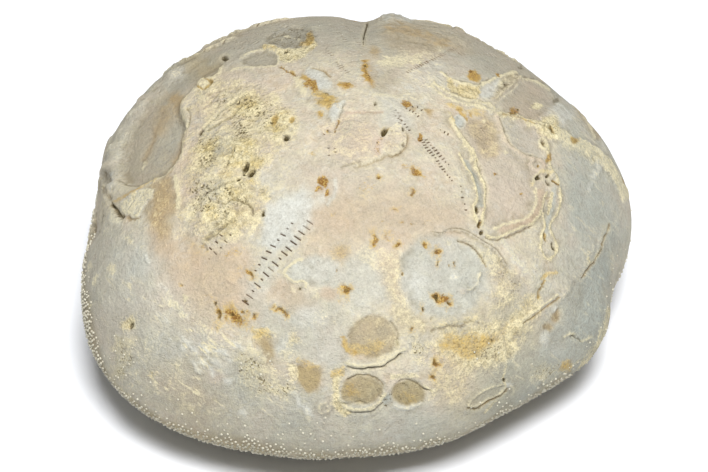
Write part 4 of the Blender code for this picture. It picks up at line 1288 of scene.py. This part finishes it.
def sinkTree():  # presses the pore slits into the skin, and marks them for the painted shade inside them
    flow, take = newTree("sinkPores", Slits="Object", HalfWide="Float", Depth="Float", Finish="Material")
    slits = flow.make("GeometryNodeObjectInfo", None, {"Object": take["Slits"]}, "Geometry")
    place, outward = flow.attribute("place", "FLOAT_VECTOR"), flow.attribute("outward", "FLOAT_VECTOR")
    away = flow.make("GeometryNodeProximity", {"target_element": "EDGES"},
                     {0: slits, "Sample Position": place}, "Distance")
    pore = (1.7 - flow.maths("DIVIDE", away, take["HalfWide"])).held()
    offset = flow.vector("SCALE", {0: outward, "Scale": pore * take["Depth"] * -1})
    sunk = flow.make("GeometryNodeSetPosition", None, {"Geometry": take["Geometry"], "Offset": offset})
    kept = flow.make("GeometryNodeStoreNamedAttribute", {"data_type": "FLOAT", "domain": "POINT"},
                     {"Geometry": sunk, "Name": "pore", "Value": pore})
    return endTree(flow, kept, take["Finish"])


paintedShadeAndHighlight = {"rounds": 3, "hollow": .08, "crest": .1}  # how the hollows that get painted shade and the crests that get a painted highlight are found
beads = {"gap": .56, "most": 2.6, "radius": .25, "dense": 13.0, "highest": 21.0, "seed": 3}


def beadCover(spots, facing):  # how thick the tubercles stand, which also sets the painted shade on the ground between them
    height = spots[:, 2]
    uneven = height - 2.2 * grain(spots, 9, 91, 2)
    edge, scattered = smoothstep((beads["dense"] - uneven) / 4), smoothstep((beads["highest"] - uneven) / 9)
    turning = smoothstep((.42 - facing) / .15) * smoothstep((facing + .3) / .1)
    edge = np.maximum(edge, turning * smoothstep((24 - height) / 4) * smoothstep(-spots[:, 0] / 12))
    patchy = smoothstep(.85 + .9 * grain(spots, 3.0, 93, 2))
    thinner = 1 - .6 * smoothstep((spots[:, 1] + 10) / 25) - .3 * smoothstep((3.5 - height) / 2)
    thick = (edge * (.5 + .5 * patchy) + scattered * .16 * patchy).clip(0, 1)
    return thick * thinner * smoothstep(height)


def beadTree():
    flow, take = newTree("tubercles", Bead="Object", Gap="Float", Most="Float", Radius="Float", Seed="Int",
                         Finish="Material")
    thick = flow.attribute("beads")
    points = flow.make("GeometryNodeDistributePointsOnFaces", {"distribute_method": "POISSON"},
                       {"Mesh": take["Geometry"], "Distance Min": take["Gap"], "Density Max": take["Most"],
                        "Density Factor": thick, "Seed": take["Seed"]})
    bead = flow.make("GeometryNodeObjectInfo", None, {"Object": take["Bead"]}, "Geometry")
    chance = flow.make("FunctionNodeRandomValue", {"data_type": "FLOAT"}, {"Seed": take["Seed"]}, 1)
    size = take["Radius"] * (.5 + .35 * chance + .3 * thick)
    made = flow.make("GeometryNodeInstanceOnPoints", None,
                     {"Points": points, "Instance": bead, "Rotation": points.other("Rotation"),
                      "Scale": size})
    return endTree(flow, made, take["Finish"])


def beadMesh():  # a low dome, sunk a little into what it stands on
    bm = plainBall(1)
    for vert in bm.verts:
        vert.co.z = vert.co.z * 1.1 + .1
    mesh = bpy.data.meshes.new("bead")
    bm.to_mesh(mesh)
    bm.free()
    mesh.shade_smooth()
    return mesh


def softened(values, first, second, rounds):  # each value drawn towards its neighbours' mean
    count = np.bincount(first, minlength=len(values)) + np.bincount(second, minlength=len(values))
    for _ in range(rounds):
        total = np.bincount(first, values[second], len(values))
        total = total + np.bincount(second, values[first], len(values))
        values = .3 * values + .7 * total / np.maximum(count, 1)
    return values


def coordsOf(mesh):
    flat = np.empty(len(mesh.vertices) * 3)
    mesh.vertices.foreach_get("co", flat)
    return flat.reshape(-1, 3)


def setCoords(mesh, points):
    mesh.vertices.foreach_set("co", points.ravel())
    mesh.update()


def makeSkin(finish):
    features = hiddenSides() + broadTints() + stainMarks() + leftHollow() + porousCrust() + shellRims()
    features += oysterScars() + summitMarks()
    print("places set:", len(features), "features")
    slits = poreSlits(finish)
    print("pore slits:", len(slits.edges))
    bm = fineBall(features, slits)
    print("ball divided:", len(bm.faces), "triangles")
    skin = shapeSkin(bm, features)
    skin.coats["beads"] = np.maximum(skin.coats["beads"], beadCover(skin.spots, skin.ground.facing))
    outward = skin.ground.outward
    mesh = bpy.data.meshes.new("urchinSkin")
    bm.to_mesh(mesh)
    bm.free()
    ends = np.empty(len(mesh.edges) * 2, dtype=np.int32)
    mesh.edges.foreach_get("vertices", ends)
    first, second = ends.reshape(-1, 2).T
    # painted shade in the hollows and a painted highlight on crests facing the camera, from how far
    # smoothing moves each point
    sunk = softened(skin.lift, first, second, paintedShadeAndHighlight["rounds"]) - skin.lift
    skin.coats["hollow"] = np.clip(sunk / paintedShadeAndHighlight["hollow"] - .2, 0, 1)
    skin.coats["crest"] = np.clip(-sunk / paintedShadeAndHighlight["crest"] - .15, 0, 1) * smoothstep(skin.ground.facing / .4)
    for name, values in (("place", skin.spots), ("outward", outward)):
        mesh.attributes.new(name, "FLOAT_VECTOR", "POINT").data.foreach_set("vector", values.ravel())
    for name, values in skin.coats.items():
        mesh.attributes.new(name, "FLOAT", "POINT").data.foreach_set("value", values)
    setCoords(mesh, skin.spots + outward * skin.lift[:, None])
    mesh = grown(mesh, sinkTree(), {"Slits": slits}, HalfWide=poreRows["halfWide"], Depth=poreRows["deep"],
                 Finish=finish)
    points = coordsOf(mesh)
    points[:, 2] = np.maximum(points[:, 2], 0)
    setCoords(mesh, points)
    mesh.shade_smooth()
    print("skin shaped:", len(mesh.polygons), "triangles")
    return mesh


def makeBeads(skinMesh, finish):
    mesh = grown(skinMesh, beadTree(), {"Bead": beadMesh()}, Gap=beads["gap"], Most=beads["most"],
                 Radius=beads["radius"], Seed=beads["seed"], Finish=finish)
    mesh.shade_smooth()
    print("tubercles:", len(mesh.polygons), "triangles")
    return mesh


tones = {  # as seen on a screen, 0 to 255
    "base": (214, 205, 183),
    "crust": (240, 213, 134),
    "paleCrust": (246, 232, 186),
    "olive": (150, 134, 94),
    "cream": (235, 224, 186),
    "white": (222, 222, 212),
    "ochre": (184, 148, 76),
    "gold": (208, 176, 100),
    "rust": (150, 104, 42),
    "taupe": (166, 154, 131),
    "cool": (178, 182, 172),
    "tan": (188, 162, 118),
    "moss": (176, 160, 116),
    "dark": (82, 70, 38),
    "pore": (92, 66, 38),
    "blush": (220, 199, 178),
    "grey": (206, 207, 200),
    "bead": (230, 225, 204),
}
stone = {"paint": .755, "rough": .88, "gloss": .25, "speckle": .53, "hollowShadeAndDirt": .45, "wearAndCrestHighlight": .3}


def tone(name, light=1.0):  # a tone as the shader takes it
    shades = np.array(tones[name]) / 255
    straight = ((shades + .055) / 1.055) ** 2.4 * stone["paint"] * light
    return (*(float(value) for value in straight), 1)


def newFinish(name):
    finish = bpy.data.materials.new(name)
    finish.use_nodes = True
    finish.node_tree.nodes.clear()
    return finish, Flow(finish.node_tree)


def inMillimetres(flow):
    return flow.vector("SCALE", {0: flow.make("ShaderNodeTexCoord", None, None, "Object"), "Scale": 1 / mm})


def clouds(where, size, layers=2, rough=.5, twist=0):  # soft noise about as large as size, 0 to 1
    sockets = {"Vector": where, "Scale": 1 / size, "Detail": layers, "Roughness": rough, "Distortion": twist}
    return where.make("ShaderNodeTexNoise", None, sockets, "Fac")


def mixed(share, first, second):
    return share.make("ShaderNodeMix", {"data_type": "RGBA"}, {0: share, 6: first, 7: second}, 2)


def brightened(colour, amount):
    return colour.vector("SCALE", {0: colour, "Scale": amount})


def painted(flow, colour, rough, gloss, height=None, strength=1):
    sockets = {"Base Color": colour, "Roughness": rough, "Specular IOR Level": gloss}
    if height:
        bump = {"Strength": strength, "Distance": mm, "Height": height}
        sockets["Normal"] = flow.make("ShaderNodeBump", None, bump)
    surface = flow.make("ShaderNodeBsdfPrincipled", None, sockets)
    flow.make("ShaderNodeOutputMaterial", None, {"Surface": surface})


def stoneFinish():
    finish, flow = newFinish("weatheredStone")
    where = inMillimetres(flow)
    drift, patch = clouds(where, 24, 3, .6), clouds(where, 7, 5, .65, .4)
    mottle = clouds(where, 2.4, 5, .7, .6)
    grit, dust, flecks = clouds(where, .75, 3, .7), clouds(where, .26, 2, .6), clouds(where, .5, 3, .75)
    wander = flow.make("ShaderNodeTexNoise", None, {"Vector": where, "Scale": 1.1, "Detail": 2.0}, "Color")
    wandered = flow.vector("ADD", {0: where, 1: brightened(wander, 1.1)})

    def coat(name):
        return flow.make("ShaderNodeAttribute", {"attribute_name": name}, None, "Fac")

    def cells(size):
        return flow.make("ShaderNodeTexVoronoi", None, {"Vector": wandered, "Scale": 1 / size}, "Distance")

    def chances(node):
        return flow.make("ShaderNodeSeparateColor", None, {"Color": node.other("Color")}, "Red")

    def spread(mask, most=1, sharp=1, fine=2.2):  # breaks a coat into grains, the more so the thinner it is
        edge = mask * 1.7 - .35 + (mottle - .5) * (3.6 - fine) + (flecks - .5) * fine + (dust - .5) * .9
        return ((edge - .5) * sharp + .5).held() * (mask * 6).held() * most

    def veins(size, thin, twist):  # thin wandering lines
        line = clouds(where, size, 3, .55, twist) - .5
        return (1 - line.maths("ABSOLUTE", line) * thin).held()

    def along(way, share):
        return flow.vector("DOT_PRODUCT", {0: where, 1: tuple(way)}, "Value") * share

    crumbs, dots = cells(.62), cells(.75)
    crumbTone, dotSize = chances(crumbs), chances(dots)
    drawn = {"X": along(.64 * right + .77 * up, 1), "Y": along(.77 * right - .64 * up, .3)}
    slope = flow.make("ShaderNodeCombineXYZ", None, drawn)
    streak = (clouds(slope, 1.0, 4, .65, .4) * 12 - 6.6).held() * (patch * 8 - 3.4).held()
    curls = (clouds(where, .5, 2, .55, 1.6) * 14 - 8.0).held()
    colour = mixed((drift * 4 - 1.5).held(), tone("base", .95), tone("base", 1.04))
    colour = mixed((patch * 5 - 2.3).held() * .5, colour, tone("blush"))
    colour = mixed((2.2 - patch * 5).held() * .5, colour, tone("grey"))
    colour = mixed((mottle * 6 - 3.2).held() * .4, colour, tone("cream"))
    flakes = (clouds(where, 1.9, 6, .72, .8) * 10 - 5.4).held() * (3.4 - patch * 5).held()
    colour = mixed(flakes * .4, colour, tone("white", 1.1))
    colour = mixed(veins(3.5, 22, .8) * (patch * 6 - 2.6).held() * .3, colour, tone("tan"))
    colour = mixed(veins(2.2, 16, 1.2) * (4.0 - patch * 7).held() * .45, colour, tone("cream", 1.05))
    for name in ("blush", "taupe", "cool", "tan", "moss"):
        colour = mixed((coat(name) * (.3 + mottle * .8 + grit * .5)).held(), colour, tone(name))
    colour = mixed((coat("white") * (.2 + mottle * .8 + flecks * .6)).held() * .95, colour, tone("white"))
    crustHere = coat("crust")
    yellow = mixed((mottle * 5 - 2 + crumbTone * .4).held(), tone("crust"), tone("paleCrust"))
    colour = mixed(spread(crustHere * .95, fine=.9), colour, yellow)
    edges = (crumbs * 3.6 - 1.6).held() * (crustHere * 1.6 - .3).held()
    colour = mixed(edges * .25, colour, tone("olive"))
    colour = mixed(veins(1.5, 26, 1.0) * (crustHere * 2.5 - .5).held() * .4, colour, tone("olive", .8))
    colour = mixed((streak * coat("streaks") * 1.6).held(), colour, tone("cream", 1.12))
    colour = mixed(spread(coat("cream"), .8, 1.1), colour, tone("cream"))
    ochre = mixed((grit * 4 - 1.4).held(), tone("ochre"), tone("gold"))
    colour = mixed(spread(coat("ochre"), .85, 1.0, 1.2), colour, ochre)
    rust = mixed((flecks * 4 + dust * 5 - 4.3).held(), tone("rust"), tone("gold"))
    colour = mixed(spread(coat("rust"), .95, 1.4, 2.8), colour, rust)
    peppered = ((coat("specks") * 1.3 - clouds(where, 1.2, 1) * .95) * 5).held()
    dot = ((.14 + .22 * dotSize - dots) * 12 + .5).held() * peppered
    colour = mixed(dot * .8, colour, tone("dark", 1.9))
    colour = mixed(curls * ((coat("specks") * 1.7 - mottle * .9) * 4).held() * .9, colour, tone("dark", 1.6))
    # painted shade, with some dirt, darkening the hollows and the flanks of ridges
    colour = mixed((coat("hollow") * (.4 + grit)).held() * stone["hollowShadeAndDirt"], colour, tone("olive", .75))
    # painted highlight on the crests that face the camera
    colour = mixed((coat("crest") * (.5 + grit)).held() * stone["wearAndCrestHighlight"], colour, tone("cream"))
    # painted shade on the ground between the tubercles
    colour = mixed((coat("beads") * (.3 + flecks)).held() * .7, colour, tone("olive", 1.05))
    # the dark coat: dark stain cores, and painted shade in cracks, pits and the creases beside ridges
    dark = (coat("dark") * 1.5 - .45 + (flecks - .5) * 2.2).held() * (coat("dark") * 4).held()
    colour = mixed(dark, colour, tone("dark"))
    # painted shade inside the pore slits
    colour = mixed((coat("pore") * (.95 + flecks * .7)).held() * .92, colour, tone("pore"))
    speckle = stone["speckle"]
    lively = .6 + crustHere * 1.4 + (coat("taupe") + coat("cool")) * .5
    light = 1 + (dust - .5) * speckle * lively + (flecks - .5) * speckle * .85
    light = light + (grit - .5) * .35 + (mottle - .5) * .55 + (patch - .5) * .3
    height = mottle * .4 + grit * .3 + dust * .16 - (crumbs * crustHere) * .4 - dot * .2
    painted(flow, brightened(colour, light), .95 - grit * .15, stone["gloss"], height)
    return finish


def beadFinish():
    finish, flow = newFinish("tubercleStone")
    where = inMillimetres(flow)
    colour = mixed((clouds(where, 1.5, 3) * 4 - 1.2).held(), tone("base", .98), tone("bead", 1.0))
    painted(flow, colour, stone["rough"], stone["gloss"], clouds(where, .3, 2) * .05, .5)
    return finish


studio = {
    "world": .225,
    "worldTone": (.92, .965, 1, 1),
    "floorTone": .88,
    "floorReach": 3.0,
    "keyPower": 26.3,
    "keySize": .5,
    "keyPlace": (.1, -.5, 1.3),
}


def makeFloor():
    finish, flow = newFinish("paleFloor")
    where = inMillimetres(flow)
    light = studio["floorTone"]
    cooler, bluer = light * .985, light * 1.035
    colour = mixed(clouds(where, 60, 2), (cooler, light, bluer, 1), (cooler * .99, light * .99, bluer, 1))
    painted(flow, colour, .9, .1)
    mesh = bpy.data.meshes.new("floor")
    reach = studio["floorReach"]
    corners = [(-reach, -reach, 0), (reach, -reach, 0), (reach, reach, 0), (-reach, reach, 0)]
    mesh.from_pydata(corners, [], [(0, 1, 2, 3)])
    mesh.materials.append(finish)
    return showing("floor", mesh)


def makeLight():
    world = bpy.data.worlds.new("studio")
    world.use_nodes = True
    sky = world.node_tree.nodes["Background"].inputs
    sky["Color"].default_value = studio["worldTone"]
    sky["Strength"].default_value = studio["world"]
    bpy.context.scene.world = world
    lamp = bpy.data.lights.new("key", "AREA")
    lamp.energy, lamp.size = studio["keyPower"], studio["keySize"]
    key = showing("key", lamp)
    key.location = studio["keyPlace"]
    key.rotation_euler = (Vector((0, 0, .02)) - key.location).to_track_quat("-Z", "Y").to_euler()
    bpy.context.scene.view_settings.view_transform = "Standard"


def makeCamera():
    lens = bpy.data.cameras.new("camera")
    lens.lens, lens.sensor_width = picture["lens"], picture["sensor"]
    lens.clip_start, lens.clip_end = .01, 20
    camera = showing("camera", lens)
    facing = Matrix((right, up, back)).transposed().to_4x4()
    camera.matrix_world = Matrix.Translation(Vector(eye) * mm) @ facing
    bpy.context.scene.camera = camera


def makeUrchin():
    skinMesh = makeSkin(stoneFinish())
    beadsMesh = makeBeads(skinMesh, beadFinish())
    both = np.concatenate([coordsOf(skinMesh), coordsOf(beadsMesh)])
    low, high = both.min(axis=0), both.max(axis=0)
    nodeLow, nodeHigh = (np.array(corner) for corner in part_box(stoneNode))
    for name, mesh, replaced in (("urchinSkin", skinMesh, True), ("tubercles", beadsMesh, False)):
        setCoords(mesh, nodeLow + (coordsOf(mesh) - low) / (high - low) * (nodeHigh - nodeLow))
        piece = showing(name, mesh)
        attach(piece, "root")
        if replaced:
            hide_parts(stoneNode)


makeUrchin()
makeFloor()
makeLight()
makeCamera()
print("floor, light and camera placed")
